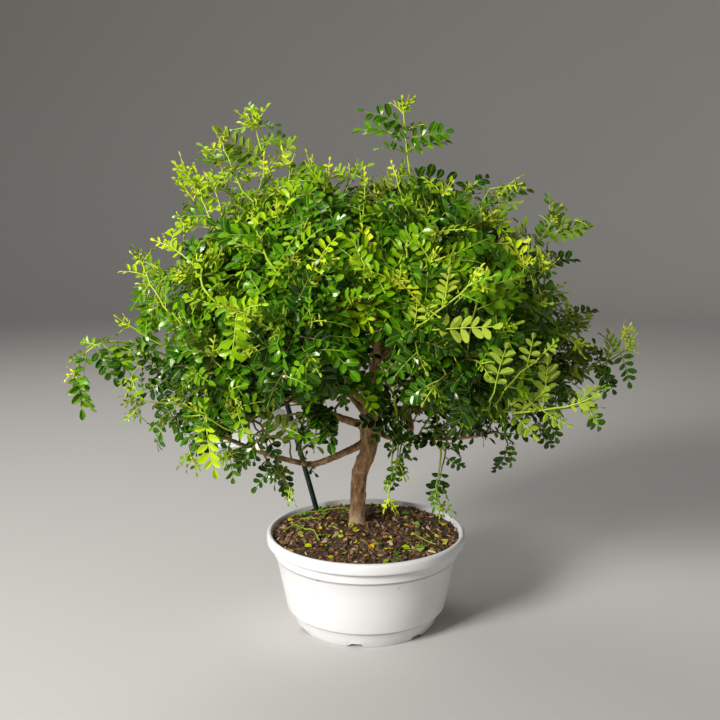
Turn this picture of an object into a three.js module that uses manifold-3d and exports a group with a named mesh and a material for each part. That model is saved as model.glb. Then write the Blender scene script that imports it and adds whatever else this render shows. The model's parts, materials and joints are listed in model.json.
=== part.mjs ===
// A Japanese pepper bonsai in its white training pot. Millimetres, +Z up, the
// pot stands on z = 0 round the Z axis, and the viewer looks along +Y.
import * as THREE from 'three';
import * as BufferGeometryUtils from 'three/addons/utils/BufferGeometryUtils.js';
import Module from 'manifold-3d';

// Driving dimensions of the pot
const gap = 0.3;
const rimRadius = 90;
const potHeight = 85;
const footRadius = 63.4;
const potSides = 32;
const floorTop = 9.5;
const floorThickness = 3;
const notchCount = 7;
const notchWidth = 14.5;
const notchHeight = 2.8;
const firstNotchAngle = -98;
const drainHoleCount = 4;
const drainHoleRadius = 5;
const drainHoleCircle = 38;

// Driving dimensions of the soil
const soilRimLevel = 81.5;
const soilMound = 5;
const soilChip = 0.9;
const soilBottom = floorTop + gap;
const soilTopRings = 3;

// Driving dimensions of the trunk's foot, the stake and the label plate
const trunkFoot = new THREE.Vector3(-8, 14, 62);
const trunkFootRadius = 7.6;
const stakeFoot = new THREE.Vector3(-39, 60, 50);
const stakeTop = new THREE.Vector3(-94, 60, 259);
const stakeWidth = 5;
const labelWidth = 68;
const labelHeight = 37;
const labelThickness = 1.2;
const labelLevel = 164;
const sleeveRadius = 4.9;
const sleeveBore = 3.2;
const sleeveHeight = 16;

// Driving dimensions of the limbs and stems
const limbSides = 5;
const innerLimbSides = 4;
const firstInnerLimb = 7;
const stemSides = 3;
const stemRadius = 1.3;
const stemTipRadius = 1.1;
const stemStep = 42;
const stemEndShare = 0.98;

// Driving dimensions of a compound leaf
const shingleLength = 38;
const shortLeaf = 45;
const petioleLength = 7;
const endLeafletLength = 11;
const endLeafletHalf = 3.4;
const leafletReach = 11;
const leafletLean = 3.5;
const leafletFold = 0.16;
const leafletPairs = 3;
const ribWidth = 1.5;
const rootWidth = 0.7;
const bladeThickness = 0.8;
const leafArch = 0.22;
const leafAttempts = 16;
const youngLevel = 300;

// The dense part of the crown: shoots spread evenly over a domed shell, and a
// few below it, each with a lumpy core that its leaves stand out of
const crownCentre = new THREE.Vector3(0, -5, 240);
const shell = new THREE.Vector3(148, 136, 122);
const lowerShoots = [[-97, -62, 199], [-44, -92, 214]];
const shellShoots = 20;
const lowestCosine = -0.1;
const shellTurn = 40;
const goldenTurn = 137.508;
const coreRadius = 38;
const coreRoom = 0.8;
const coreRoughness = 0.45;
const coreDepth = 1.35;
const shingles = 3;
const shingleForward = 0.36;
const shingleAside = 0.32;
const endLeafForward = 0.48;

// Colours, roughness and metalness
const finishes = {
  plastic: { color: 0xf4f4f1, roughness: 0.42, metalness: 0 },
  soil: { color: 0x4a3628, roughness: 0.95, metalness: 0 },
  bark: { color: 0x7a5f48, roughness: 0.85, metalness: 0 },
  stake: { color: 0x16302a, roughness: 0.4, metalness: 0 },
  label: { color: 0xe8e6e4, roughness: 0.5, metalness: 0 },
  leaf: { color: 0x4f8f1c, roughness: 0.4, metalness: 0 },
  youngLeaf: { color: 0x9cbf2e, roughness: 0.45, metalness: 0 },
};

// The limbs: points along each, and its radius at the start and the end. The
// first is the trunk, which lists a radius for every point.
const limbs = [
  {
    points: [[-8, 14, 62], [-8, 14, 90], [-7.5, 12, 104], [-7, 10, 121], [-5, 8, 137], [1, 6, 153],
      [3, 4, 167], [2, 3, 181], [2, 2, 196], [5, 3, 216], [10, 6, 244], [12, 8, 275], [16, 8, 318]],
    radii: [7.6, 7.6, 7, 7, 7.4, 7.3, 8.4, 7.8, 5.8, 4.8, 4.2, 3.4, 2.2],
    sides: 8,
  },
  { points: [[-2, 3, 164], [-19, -10, 159], [-42, -20, 152], [-54, -25, 153], [-75, -32, 160],
    [-96, -38, 169], [-120, -44, 181], [-144, -50, 196]], radii: [3.4, 1.5] },
  { points: [[0, 3, 180], [-23, 5, 187], [-51, 10, 198], [-87, 12, 207], [-123, 12, 215],
    [-152, 6, 226]], radii: [3.8, 1.5] },
  { points: [[4, 3, 214], [-20, 8, 236], [-48, 12, 262], [-78, 14, 292], [-100, 12, 322]], radii: [3.4, 1.4] },
  { points: [[4, 2, 190], [21, -5, 196], [37, -10, 198], [56, -12, 200], [77, -12, 199],
    [95, -14, 208], [117, -16, 219], [142, -14, 230]], radii: [4.2, 1.5] },
  { points: [[6, 3, 176], [26, -8, 170], [41, -12, 172], [62, -15, 173], [81, -15, 173],
    [104, -16, 176]], radii: [2.2, 1.2] },
  { points: [[10, 6, 240], [34, 12, 262], [62, 18, 286], [88, 22, 312], [104, 24, 338]], radii: [3, 1.3] },
  { points: [[2, 4, 188], [-16, 34, 204], [-38, 66, 222], [-62, 98, 240], [-84, 126, 256]], radii: [3.4, 1.3] },
  { points: [[3, 4, 196], [24, 36, 214], [48, 68, 234], [74, 98, 250], [96, 122, 262]], radii: [3.4, 1.3] },
  { points: [[2, 2, 200], [-14, -26, 218], [-34, -58, 236], [-56, -92, 250], [-74, -124, 260]], radii: [3, 1.3] },
  { points: [[4, 2, 206], [22, -24, 224], [44, -56, 242], [66, -90, 256], [84, -120, 264]], radii: [3, 1.3] },
  { points: [[8, 6, 232], [8, 34, 262], [4, 64, 292], [-2, 92, 320]], radii: [2.6, 1.2] },
  { points: [[10, 6, 236], [10, -26, 262], [6, -56, 288], [0, -84, 312]], radii: [2.4, 1.2] },
  { points: [[12, 8, 262], [-2, 4, 300], [-20, -2, 336], [-40, -6, 364]], radii: [2.2, 1.1] },
  { points: [[16, 8, 300], [30, 2, 330], [46, -4, 356]], radii: [2, 1.1] },
];

// Cut and broken stubs, each from its root to its blunt end
const stubs = [
  { points: [[37, -12, 170], [39, -12, 184], [37, -10, 197]], radii: [2.6, 2.4] },
  { points: [[5, 4, 171], [15, 1, 178]], radii: [4.6, 3.2] },
  { points: [[80, -12, 200], [94, -16, 204], [104, -20, 203]], radii: [4, 3.4] },
];

// Shoots placed by hand, which give the crown its outline: each starts at the
// limb nearest to from, is pulled towards via and ends at end. A leaf in
// leaves is its place along the stem, its direction and its length.
const outerShoots = [
  { from: [-150, 4, 226], via: [-219, -66, 296], end: [-242, -54, 240],
    leaves: [[0.62, 0.55, 0, -0.75, 44], [0.9, -0.8, -0.05, -0.3, 26], [1, 0.1, 0, -1, 42]] },
  { from: [-90, 13, 306], via: [-150, -10, 330], end: [-184, -28, 308],
    leaves: [[0.7, -0.9, -0.2, 0.1, 40], [1, -0.15, -0.1, -1, 48]] },
  { from: [-84, 14, 300], via: [-130, 4, 316], end: [-178, -4, 320],
    leaves: [[0.6, -0.6, 0.5, 0.5, 40], [1, -0.8, 0, 0.5, 30]] },
  { from: [-100, 12, 318], via: [-132, 2, 348], end: [-150, -4, 384],
    leaves: [[0.6, -0.9, 0, 0.2, 46], [0.8, 0.4, -0.7, 0.4, 40], [1, -0.5, 0, 0.8, 30]] },
  { from: [-40, -6, 360], via: [-88, -4, 392], end: [-94, -2, 442],
    leaves: [[0.5, 0.9, 0, 0.3, 46], [0.66, -0.9, 0, 0.3, 46], [0.84, 0.75, 0.1, 0.45, 34], [1, -0.35, 0, 1, 28]] },
  { from: [-96, 12, 314], via: [-116, 10, 372], end: [-126, 6, 412],
    leaves: [[0.6, 0.3, 0.7, 0.5, 44], [0.8, -0.9, 0.2, 0.1, 42], [1, -0.5, 0, 0.8, 28]] },
  { from: [44, -4, 352], via: [38, 0, 392], end: [32, 0, 450],
    leaves: [[0.72, 0.9, 0, 0.42, 48], [0.82, -0.92, 0, 0.42, 52], [1, -0.2, 0, 1, 26]] },
  { from: [46, -4, 356], via: [58, 0, 378], end: [84, 4, 386],
    leaves: [[1, 0.7, 0, 0.6, 34]] },
  { from: [104, 24, 336], via: [98, 14, 372], end: [112, 4, 384],
    leaves: [[1, 0.9, 0, 0.3, 36]] },
  { from: [100, 24, 330], via: [146, 14, 320], end: [161, 4, 362],
    leaves: [[0.66, 0.5, 0.1, 0.8, 36], [0.84, 0.95, 0, 0.35, 44], [1, -0.1, 0, 1, 28]] },
  { from: [98, 23, 326], via: [120, 4, 336], end: [150, 0, 322],
    leaves: [[1, 0.9, 0, 0.5, 42]] },
  { from: [140, -14, 229], via: [170, 4, 268], end: [176, 8, 276],
    leaves: [[0.8, 0.1, 0.8, 0.5, 40], [1, 0.9, 0, 0.5, 36]] },
  { from: [142, -14, 230], via: [196, 40, 208], end: [248, 70, 238],
    leaves: [[0.5, 0.3, 0, 0.95, 34], [0.75, 0.4, -0.2, -0.9, 34], [0.9, 0.5, 0, -0.8, 46], [1, 0.1, 0, 1, 32]] },
  { from: [100, -14, 210], via: [136, -62, 202], end: [178, -76, 217],
    leaves: [[0.4, 0, -0.1, 1, 52], [0.72, 0.05, -0.1, 1, 46], [0.6, 0.45, -0.4, -0.8, 34], [1, 0.5, 0, -0.85, 32]] },
  { from: [40, -50, 239], via: [16, -96, 252], end: [74, -122, 312],
    leaves: [[0.6, 0.9, -0.3, 0.3, 56], [0.8, -0.5, -0.6, 0.5, 44], [1, 0.8, -0.2, 0.3, 46]] },
  { from: [-64, -105, 254], via: [-84, -134, 306], end: [-93, -158, 303],
    leaves: [[0.6, -0.8, -0.1, 0.4, 42], [1, -0.1, -0.1, -1, 46]] },
  { from: [-78, -32, 161], via: [-78, -48, 164], end: [-74, -50, 158],
    leaves: [[0.7, -0.6, -0.5, -0.5, 34], [1, 0.45, -0.2, -0.8, 34]] },
  { from: [-110, -42, 176], via: [-116, -62, 186], end: [-114, -68, 176],
    leaves: [[0.6, -0.7, -0.4, 0.1, 40], [1, 0.2, -0.2, -1, 32]] },
  { from: [-142, -49, 195], via: [-158, -60, 206], end: [-166, -62, 200],
    leaves: [[0.6, 0.3, -0.8, -0.4, 38], [1, -0.6, 0, -0.8, 36]] },
  { from: [30, -9, 197], via: [28, -50, 214], end: [26, -56, 164],
    leaves: [[0.6, 0.5, -0.5, -0.5, 30], [0.8, 0.7, 0, -0.7, 24], [1, -0.1, 0, -1, 36]] },
  { from: [66, -15, 173], via: [74, -26, 178], end: [66, -28, 150],
    leaves: [[0.8, 0.7, -0.1, -0.6, 26], [1, -0.1, 0, -1, 38]] },
  { from: [102, -16, 176], via: [124, 2, 182], end: [129, 8, 160],
    leaves: [[0.5, 0.5, -0.7, 0.2, 38], [1, -0.2, 0, -1, 36]] },
  { from: [120, -16, 220], via: [146, 16, 206], end: [156, 20, 178],
    leaves: [[0.4, 0.6, -0.6, 0.3, 40], [1, 0.4, 0, -0.9, 34]] },
];

const wasm = await Module();
wasm.setup();
const up = new THREE.Vector3(0, 0, 1);

// Random numbers from 0 to 1 that are the same on every run
function seededRandom(seed) {
  let state = (seed * 7919 + 104729) % 2147483647;
  return () => {
    state = (state * 16807) % 2147483647;
    return state / 2147483647;
  };
}

function solidFromLists(vertices, triangles) {
  const mesh = new wasm.Mesh({
    numProp: 3,
    vertProperties: new Float32Array(vertices.flat()),
    triVerts: new Uint32Array(triangles.flat()),
  });
  return new wasm.Manifold(mesh);
}

function stripped(geometry) {
  const bare = geometry.clone();
  bare.deleteAttribute('normal');
  bare.deleteAttribute('uv');
  return bare;
}

function solidFromGeometry(geometry) {
  const merged = BufferGeometryUtils.mergeVertices(stripped(geometry), 1e-4);
  const mesh = new wasm.Mesh({
    numProp: 3,
    vertProperties: new Float32Array(merged.attributes.position.array),
    triVerts: new Uint32Array(merged.index.array),
  });
  return new wasm.Manifold(mesh);
}

function geometryFromSolid(solid) {
  const mesh = solid.getMesh();
  const geometry = new THREE.BufferGeometry();
  geometry.setAttribute('position', new THREE.BufferAttribute(new Float32Array(mesh.vertProperties), 3));
  geometry.setIndex(new THREE.BufferAttribute(new Uint32Array(mesh.triVerts), 1));
  return geometry;
}

function namedMesh(name, solid, finish) {
  const mesh = new THREE.Mesh(geometryFromSolid(solid), new THREE.MeshStandardMaterial(finish));
  mesh.geometry.computeVertexNormals();
  mesh.name = name;
  return mesh;
}

// A solid round a row of centres with a radius at each, closed at both ends
function tubeSolid(centres, radii, sides) {
  const curve = new THREE.CatmullRomCurve3(centres);
  const vertices = [];
  const triangles = [];
  let across = new THREE.Vector3(1, 0, 0);
  centres.forEach((centre, ring) => {
    const tangent = curve.getTangent(ring / (centres.length - 1));
    across = across.clone().addScaledVector(tangent, -across.dot(tangent)).normalize();
    const other = tangent.clone().cross(across);
    for (let side = 0; side < sides; side += 1) {
      const angle = (2 * Math.PI * side) / sides;
      vertices.push(centre.clone()
        .addScaledVector(across, radii[ring] * Math.cos(angle))
        .addScaledVector(other, radii[ring] * Math.sin(angle))
        .toArray());
    }
  });
  for (let ring = 0; ring + 1 < centres.length; ring += 1) {
    for (let side = 0; side < sides; side += 1) {
      const a = ring * sides + side;
      const b = ring * sides + ((side + 1) % sides);
      triangles.push([a, b, b + sides], [a, b + sides, a + sides]);
    }
  }
  const last = (centres.length - 1) * sides;
  for (let side = 1; side + 1 < sides; side += 1) {
    triangles.push([0, side + 1, side], [last, last + side, last + side + 1]);
  }
  return solidFromLists(vertices, triangles);
}

// The pot: a turned shell with a rolled rim, two step lines and a foot ring
function potSolid() {
  const profile = [
    [footRadius - 3.4, 0], [footRadius, 0], [70.2, 15.4], [72.4, 16.2], [82.2, 65.2],
    [83.6, 65.9], [84.4, 74.2], [88.8, 74.8], [rimRadius, 77.2], [rimRadius, 82], [88, potHeight],
    [86, potHeight], [81.2, 72], [69.6, 16], [64, floorTop], [0, floorTop],
    [0, floorTop - floorThickness], [footRadius - 4.6, floorTop - floorThickness],
    [footRadius - 3.4, 0],
  ];
  const outline = profile.map(([radius, height]) => new THREE.Vector2(radius, height));
  const lathe = new THREE.LatheGeometry(outline, potSides).rotateX(Math.PI / 2);
  let solid = solidFromGeometry(lathe);
  for (let index = 0; index < notchCount; index += 1) {
    const angle = THREE.MathUtils.degToRad(firstNotchAngle + (index * 360) / notchCount);
    solid = solid.subtract(notchSolid(angle));
  }
  for (let index = 0; index < drainHoleCount; index += 1) {
    const angle = ((index + 0.5) * 2 * Math.PI) / drainHoleCount;
    const hole = new THREE.CylinderGeometry(drainHoleRadius, drainHoleRadius, 3 * floorThickness, 8)
      .rotateX(Math.PI / 2)
      .translate(drainHoleCircle * Math.cos(angle), drainHoleCircle * Math.sin(angle), floorTop);
    solid = solid.subtract(solidFromGeometry(hole));
  }
  return solid;
}

// A drainage notch: a prism with slanted sides, wider at the table
function notchSolid(angle) {
  const shape = new THREE.Shape([
    new THREE.Vector2(-notchWidth / 2, -2),
    new THREE.Vector2(notchWidth / 2, -2),
    new THREE.Vector2(notchWidth / 2 - 2.4, notchHeight),
    new THREE.Vector2(2.4 - notchWidth / 2, notchHeight),
  ]);
  const prism = new THREE.ExtrudeGeometry(shape, { depth: 12, bevelEnabled: false });
  prism.rotateX(Math.PI / 2).rotateZ(Math.PI / 2);
  prism.translate(footRadius - 7, 0, 0).rotateZ(angle);
  return solidFromGeometry(prism);
}

function soilHeight(radius, angle, outerRadius) {
  const share = radius / outerRadius;
  const mound = soilMound * (1 - share * share) * (0.75 + 0.25 * Math.sin(angle));
  const chips = soilChip * (Math.sin(5 * angle + radius * 0.7) + Math.sin(3 * angle - radius * 1.9));
  return soilRimLevel + mound + chips * (1 - share ** 4);
}

// The soil: a filled disc to the pot's wall with a lumpy, mounded top
function soilSolid() {
  const topRadius = 83.6;
  const wall = [[80.7, 72.2], [69.1, 16.2], [63.4, soilBottom]];
  const vertices = [[0, 0, soilHeight(0, 0, topRadius)]];
  const triangles = [];
  const addRing = (radiusAt, heightAt) => {
    for (let side = 0; side < potSides; side += 1) {
      const angle = (2 * Math.PI * side) / potSides;
      vertices.push([radiusAt * Math.cos(angle), radiusAt * Math.sin(angle), heightAt(angle)]);
    }
  };
  for (let ring = 1; ring <= soilTopRings; ring += 1) {
    const radius = (topRadius * ring) / soilTopRings;
    addRing(radius, (angle) => soilHeight(radius, angle, topRadius));
  }
  wall.forEach(([radius, height]) => addRing(radius, () => height));
  const rings = soilTopRings + wall.length;
  for (let side = 0; side < potSides; side += 1) {
    const next = (side + 1) % potSides;
    triangles.push([0, 1 + side, 1 + next]);
    for (let ring = 0; ring + 1 < rings; ring += 1) {
      const a = 1 + ring * potSides;
      const b = a + potSides;
      triangles.push([a + side, b + side, b + next], [a + side, b + next, a + next]);
    }
    const last = 1 + (rings - 1) * potSides;
    triangles.push([vertices.length, last + next, last + side]);
  }
  vertices.push([0, 0, soilBottom]);
  const trunkHole = new THREE.CylinderGeometry(trunkFootRadius + 0.8, trunkFootRadius + 0.8, 40, 10)
    .rotateX(Math.PI / 2)
    .translate(trunkFoot.x, trunkFoot.y, trunkFoot.z - gap + 20);
  const stakeHole = tubeSolid(
    [stakeAxisPoint(-gap), stakeAxisPoint(60)],
    [stakeWidth / 2 + 1.2, stakeWidth / 2 + 1.2],
    8,
  );
  return solidFromLists(vertices, triangles).subtract(solidFromGeometry(trunkHole)).subtract(stakeHole);
}

function stakeAxisPoint(distance) {
  const direction = stakeTop.clone().sub(stakeFoot).normalize();
  return stakeFoot.clone().addScaledVector(direction, distance);
}

function placedOnStake(geometry, distance) {
  const direction = stakeTop.clone().sub(stakeFoot).normalize();
  const turn = new THREE.Quaternion().setFromUnitVectors(up, direction);
  const place = new THREE.Matrix4().compose(stakeAxisPoint(distance), turn, new THREE.Vector3(1, 1, 1));
  return geometry.applyMatrix4(place);
}

// The stake: a strip with a ridge down its front, cut to a point in the soil
function stakeSolid() {
  const half = stakeWidth / 2;
  const section = new THREE.Shape([
    new THREE.Vector2(-half, -0.6),
    new THREE.Vector2(-0.9, -0.9),
    new THREE.Vector2(-0.7, -2.2),
    new THREE.Vector2(0.7, -2.2),
    new THREE.Vector2(0.9, -0.9),
    new THREE.Vector2(half, -0.6),
    new THREE.Vector2(half, 0.8),
    new THREE.Vector2(-half, 0.8),
  ]);
  const length = stakeTop.distanceTo(stakeFoot);
  const strip = new THREE.ExtrudeGeometry(section, { depth: length, bevelEnabled: false });
  return solidFromGeometry(placedOnStake(strip, 0));
}

// The label plate: a blank card with a sleeve that slips over the stake
function labelSolid() {
  const distance = stakeTop.distanceTo(stakeFoot) * (labelLevel - stakeFoot.z) / (stakeTop.z - stakeFoot.z);
  const ring = [[sleeveBore, 0], [sleeveRadius, 0], [sleeveRadius, sleeveHeight],
    [sleeveBore, sleeveHeight], [sleeveBore, 0]];
  const sleeve = new THREE.LatheGeometry(ring.map(([x, y]) => new THREE.Vector2(x, y)), 8)
    .rotateX(Math.PI / 2)
    .translate(0, 0, -sleeveHeight / 2);
  const centre = stakeAxisPoint(distance);
  const card = new THREE.BoxGeometry(labelWidth, labelThickness, labelHeight)
    .translate(centre.x - sleeveRadius + 1 - labelWidth / 2 - 4, centre.y, centre.z);
  const tongue = new THREE.BoxGeometry(8, labelThickness, sleeveHeight / 2)
    .translate(centre.x - sleeveRadius - 3.4, centre.y, centre.z);
  return solidFromGeometry(placedOnStake(sleeve, distance))
    .add(solidFromGeometry(card))
    .add(solidFromGeometry(tongue));
}

// The woody solid: the trunk, its limbs and stubs. A larger extra radius
// gives the room that the shoots keep from it.
function woodSolid(extraRadius) {
  let wood = null;
  [...limbs, ...stubs].forEach((limb, number) => {
    const centres = limb.points.map((point) => new THREE.Vector3(...point));
    const radii = centres.map((centre, index) => extraRadius + radiusAlong(limb, index / (centres.length - 1)));
    const isInner = number >= firstInnerLimb && number < limbs.length;
    const tube = tubeSolid(centres, radii, limb.sides ?? (isInner ? innerLimbSides : limbSides));
    wood = wood ? wood.add(tube) : tube;
  });
  return wood;
}

function radiusAlong(limb, share) {
  const place = share * (limb.radii.length - 1);
  const index = Math.min(Math.floor(place), limb.radii.length - 2);
  return THREE.MathUtils.lerp(limb.radii[index], limb.radii[index + 1], place - index);
}

// Places on the limbs where a shoot may start, each used once
function startingPlaces() {
  const places = [];
  limbs.forEach((limb) => {
    for (let index = 0; index + 1 < limb.points.length; index += 1) {
      const from = new THREE.Vector3(...limb.points[index]);
      const to = new THREE.Vector3(...limb.points[index + 1]);
      const steps = Math.max(1, Math.round(from.distanceTo(to) / 7));
      for (let step = 0; step < steps; step += 1) {
        places.push({ point: from.clone().lerp(to, step / steps), used: false });
      }
    }
    places.push({ point: new THREE.Vector3(...limb.points.at(-1)), used: false });
  });
  return places.filter((place) => place.point.z > 150);
}

function takeNearest(places, wanted) {
  const free = places.filter((place) => !place.used);
  const nearest = free.reduce((best, place) => (
    place.point.distanceTo(wanted) < best.point.distanceTo(wanted) ? place : best));
  nearest.used = true;
  return nearest.point.clone();
}

// The centres of a stem's rings along its bend
function stemCentres(shoot) {
  const steps = Math.max(2, Math.round(shoot.base.distanceTo(shoot.end) / stemStep));
  const bend = new THREE.QuadraticBezierCurve3(shoot.base, shoot.via, shoot.end);
  return bend.getPoints(steps);
}

// A place on the straight pieces between those centres
function stemPoint(shoot, share) {
  const centres = stemCentres(shoot);
  const place = share * (centres.length - 1);
  const index = Math.min(Math.floor(place), centres.length - 2);
  return centres[index].clone().lerp(centres[index + 1], place - index);
}

function outwards(point) {
  const away = point.clone().sub(crownCentre);
  away.z = 0;
  return away.normalize();
}

// A compound leaf: one thin arched blade whose outline is cut to the rib
// between the leaflets. u runs along the rib, v across it, w up from it.
function leafSolid(origin, direction, facing, length, thickness) {
  const across = facing.clone().cross(direction).normalize();
  const normal = direction.clone().cross(across).normalize();
  const pairs = length < shortLeaf ? leafletPairs - 1 : leafletPairs;
  const size = length < shortLeaf ? 0.85 : 1;
  const firstNotch = petioleLength * size;
  const pitch = (length - firstNotch - endLeafletLength * size) / pairs;
  const outline = [];
  const add = (u, v) => outline.push([u, v]) - 1;
  const faces = [];
  const left = [add(0, rootWidth / 2)];
  const right = [add(0, -rootWidth / 2)];
  for (let station = 0; station <= pairs; station += 1) {
    left.push(add(firstNotch + station * pitch, ribWidth / 2));
    right.push(add(firstNotch + station * pitch, -ribWidth / 2));
  }
  const rim = { left: [left[0], left[1]], right: [right[0], right[1]] };
  for (let pair = 0; pair < pairs; pair += 1) {
    const start = firstNotch + pair * pitch + leafletLean * size;
    const reach = leafletReach * size * (pair === 0 ? 0.84 : 1);
    const outer = { left: [], right: [] };
    ['left', 'right'].forEach((side) => {
      const sign = side === 'left' ? 1 : -1;
      outer[side] = [add(start, sign * reach * 0.86), add(start + pitch * 0.78, sign * reach)];
      rim[side].push(...outer[side], (side === 'left' ? left : right)[pair + 2]);
    });
    const [l0, l1, r0, r1] = [left[pair + 1], left[pair + 2], right[pair + 1], right[pair + 2]];
    faces.push([l0, outer.left[1], outer.left[0]], [l0, l1, outer.left[1]]);
    faces.push([r0, outer.right[0], outer.right[1]], [r0, outer.right[1], r1]);
    faces.push([r0, r1, l1], [r0, l1, l0]);
  }
  faces.push([right[0], right[1], left[1]], [right[0], left[1], left[0]]);
  const endLeft = add(length, endLeafletHalf * size);
  const endRight = add(length - endLeafletHalf * size, -endLeafletHalf * size);
  faces.push([right.at(-1), endRight, endLeft], [right.at(-1), endLeft, left.at(-1)]);
  const loop = [...rim.right, endRight, endLeft, ...rim.left.reverse()];
  const vertices = [];
  outline.forEach(([u, v]) => {
    const bend = leafletFold * Math.abs(v) - (leafArch * u * u) / length;
    [thickness / 2, -thickness / 2].forEach((offset) => {
      vertices.push(origin.clone()
        .addScaledVector(direction, u)
        .addScaledVector(across, v)
        .addScaledVector(normal, bend + offset)
        .toArray());
    });
  });
  const triangles = [];
  faces.forEach(([a, b, c]) => triangles.push([2 * a, 2 * b, 2 * c], [2 * a + 1, 2 * c + 1, 2 * b + 1]));
  loop.forEach((a, index) => {
    const b = loop[(index + 1) % loop.length];
    triangles.push([2 * a + 1, 2 * b + 1, 2 * b], [2 * a + 1, 2 * b, 2 * a]);
  });
  return solidFromLists(vertices, triangles);
}

// The side that a leaf turns up: to the sky, the viewer and away from the trunk
function leafFacing(origin, direction, roll) {
  const facing = up.clone().multiplyScalar(0.8).addScaledVector(outwards(origin), 0.35);
  facing.y -= 0.5;
  facing.addScaledVector(direction, -facing.dot(direction)).normalize();
  return facing.applyAxisAngle(direction, roll);
}

function listedLeaves(shoot) {
  return shoot.leaves.map(([share, x, y, z, length]) => ({
    origin: stemPoint(shoot, Math.min(share, stemEndShare)),
    direction: new THREE.Vector3(x, y, z).normalize(),
    length,
  }));
}

// Leaves round a core: one at the stem's end, the others like shingles
function shingledLeaves(shoot, random) {
  const forward = shoot.outward;
  const down = up.clone().negate();
  const side = down.clone().cross(forward).normalize();
  const below = forward.clone().cross(side);
  const leaves = [{
    origin: shoot.centre.clone().addScaledVector(forward, shoot.core * endLeafForward),
    direction: forward.clone().addScaledVector(below, 0.5).normalize(),
    facing: forward.clone().addScaledVector(up, 0.6),
    length: shingleLength * (0.94 + 0.12 * random()),
  }];
  for (let index = 0; index < shingles; index += 1) {
    const angle = (2 * Math.PI * (index + 0.5 + 0.4 * (random() - 0.5))) / shingles;
    const spoke = below.clone().multiplyScalar(Math.cos(angle)).addScaledVector(side, Math.sin(angle));
    leaves.push({
      origin: shoot.centre.clone()
        .addScaledVector(forward, shoot.core * shingleForward)
        .addScaledVector(spoke, shoot.core * shingleAside),
      direction: spoke.clone().addScaledVector(forward, 0.62).addScaledVector(down, 0.2).normalize(),
      facing: forward.clone(),
      length: shingleLength * (0.94 + 0.12 * random()),
    });
  }
  return leaves;
}

// The dense heart of a shoot: a lumpy, many-sided body round its stem
function coreSolid(shoot, random) {
  const lump = new THREE.IcosahedronGeometry(shoot.core, 0);
  const merged = BufferGeometryUtils.mergeVertices(stripped(lump), 1e-3);
  const position = merged.attributes.position;
  const corner = new THREE.Vector3();
  for (let index = 0; index < position.count; index += 1) {
    corner.fromBufferAttribute(position, index).multiplyScalar(1 - coreRoughness * random());
    const depth = Math.min(0, corner.dot(shoot.outward));
    corner.addScaledVector(shoot.outward, depth * (coreDepth - 1)).add(shoot.centre);
    position.setXYZ(index, ...corner.toArray());
  }
  return solidFromGeometry(merged);
}

// Each core reaches halfway to the next one at most
function sizeCores(cored) {
  cored.forEach((shoot) => {
    const room = cored
      .filter((other) => other !== shoot)
      .map((other) => other.centre.distanceTo(shoot.centre) / 2 - coreRoom);
    shoot.core = Math.min(coreRadius, ...room);
  });
}

function crosses(solid, others) {
  const box = solid.boundingBox();
  return others.some((other) => {
    const apart = [0, 1, 2].some((axis) => (
      box.min[axis] > other.box.max[axis] || box.max[axis] < other.box.min[axis]));
    return !apart && !solid.intersect(other.solid).isEmpty();
  });
}

function boxed(solid) {
  return { solid, box: solid.boundingBox() };
}

function stemSolid(shoot) {
  const centres = stemCentres(shoot);
  const radii = centres.map((_, index) => (
    THREE.MathUtils.lerp(stemRadius, stemTipRadius, index / (centres.length - 1))));
  return tubeSolid(centres, radii, stemSides);
}

// The first of several slightly different turns of a leaf that clears
// everything else, as the leaf and the room that it takes
function clearLeaf(leaf, others, random) {
  for (let attempt = 0; attempt < leafAttempts; attempt += 1) {
    const scatter = 0.13 * attempt;
    const direction = leaf.direction.clone();
    direction.x += scatter * (random() - 0.5);
    direction.y += scatter * (random() - 0.5);
    direction.z += scatter * (random() - 0.5);
    direction.normalize();
    const roll = (random() - 0.5) * (0.4 + scatter);
    const facing = leaf.facing
      ? leaf.facing.clone().addScaledVector(direction, -leaf.facing.dot(direction)).normalize()
      : leafFacing(leaf.origin, direction, roll);
    const size = leaf.length * (1 - 0.012 * attempt);
    const room = boxed(leafSolid(leaf.origin, direction, facing, size, 3 * bladeThickness));
    if (!crosses(room.solid, others)) {
      return { room, blade: leafSolid(leaf.origin, direction, facing, size, bladeThickness) };
    }
  }
  return null;
}

// The stems and cores of a cluster with their leaves, cut clear of the limbs
function leafyCluster(cluster, others, woodRoom) {
  const placed = [];
  let whole = cluster.body.solid;
  cluster.members.forEach(({ shoot, random }) => {
    const leaves = shoot.leaves ? listedLeaves(shoot) : shingledLeaves(shoot, random);
    leaves.forEach((leaf) => {
      const found = clearLeaf(leaf, [...others, ...placed, woodRoom], random);
      if (found) {
        placed.push(found.room);
        whole = whole.add(found.blade);
      }
    });
  });
  const pieces = whole.subtract(woodRoom.solid).decompose();
  return pieces.reduce((best, piece) => (piece.volume() > best.volume() ? piece : best));
}

// Directions spread evenly from straight up to a little below the level
function shellDirection(index) {
  const cosine = 1 - ((index + 0.5) / shellShoots) * (1 - lowestCosine);
  const sine = Math.sqrt(1 - cosine * cosine);
  const angle = THREE.MathUtils.degToRad(shellTurn + index * goldenTurn);
  return new THREE.Vector3(sine * Math.cos(angle), sine * Math.sin(angle), cosine);
}

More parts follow.
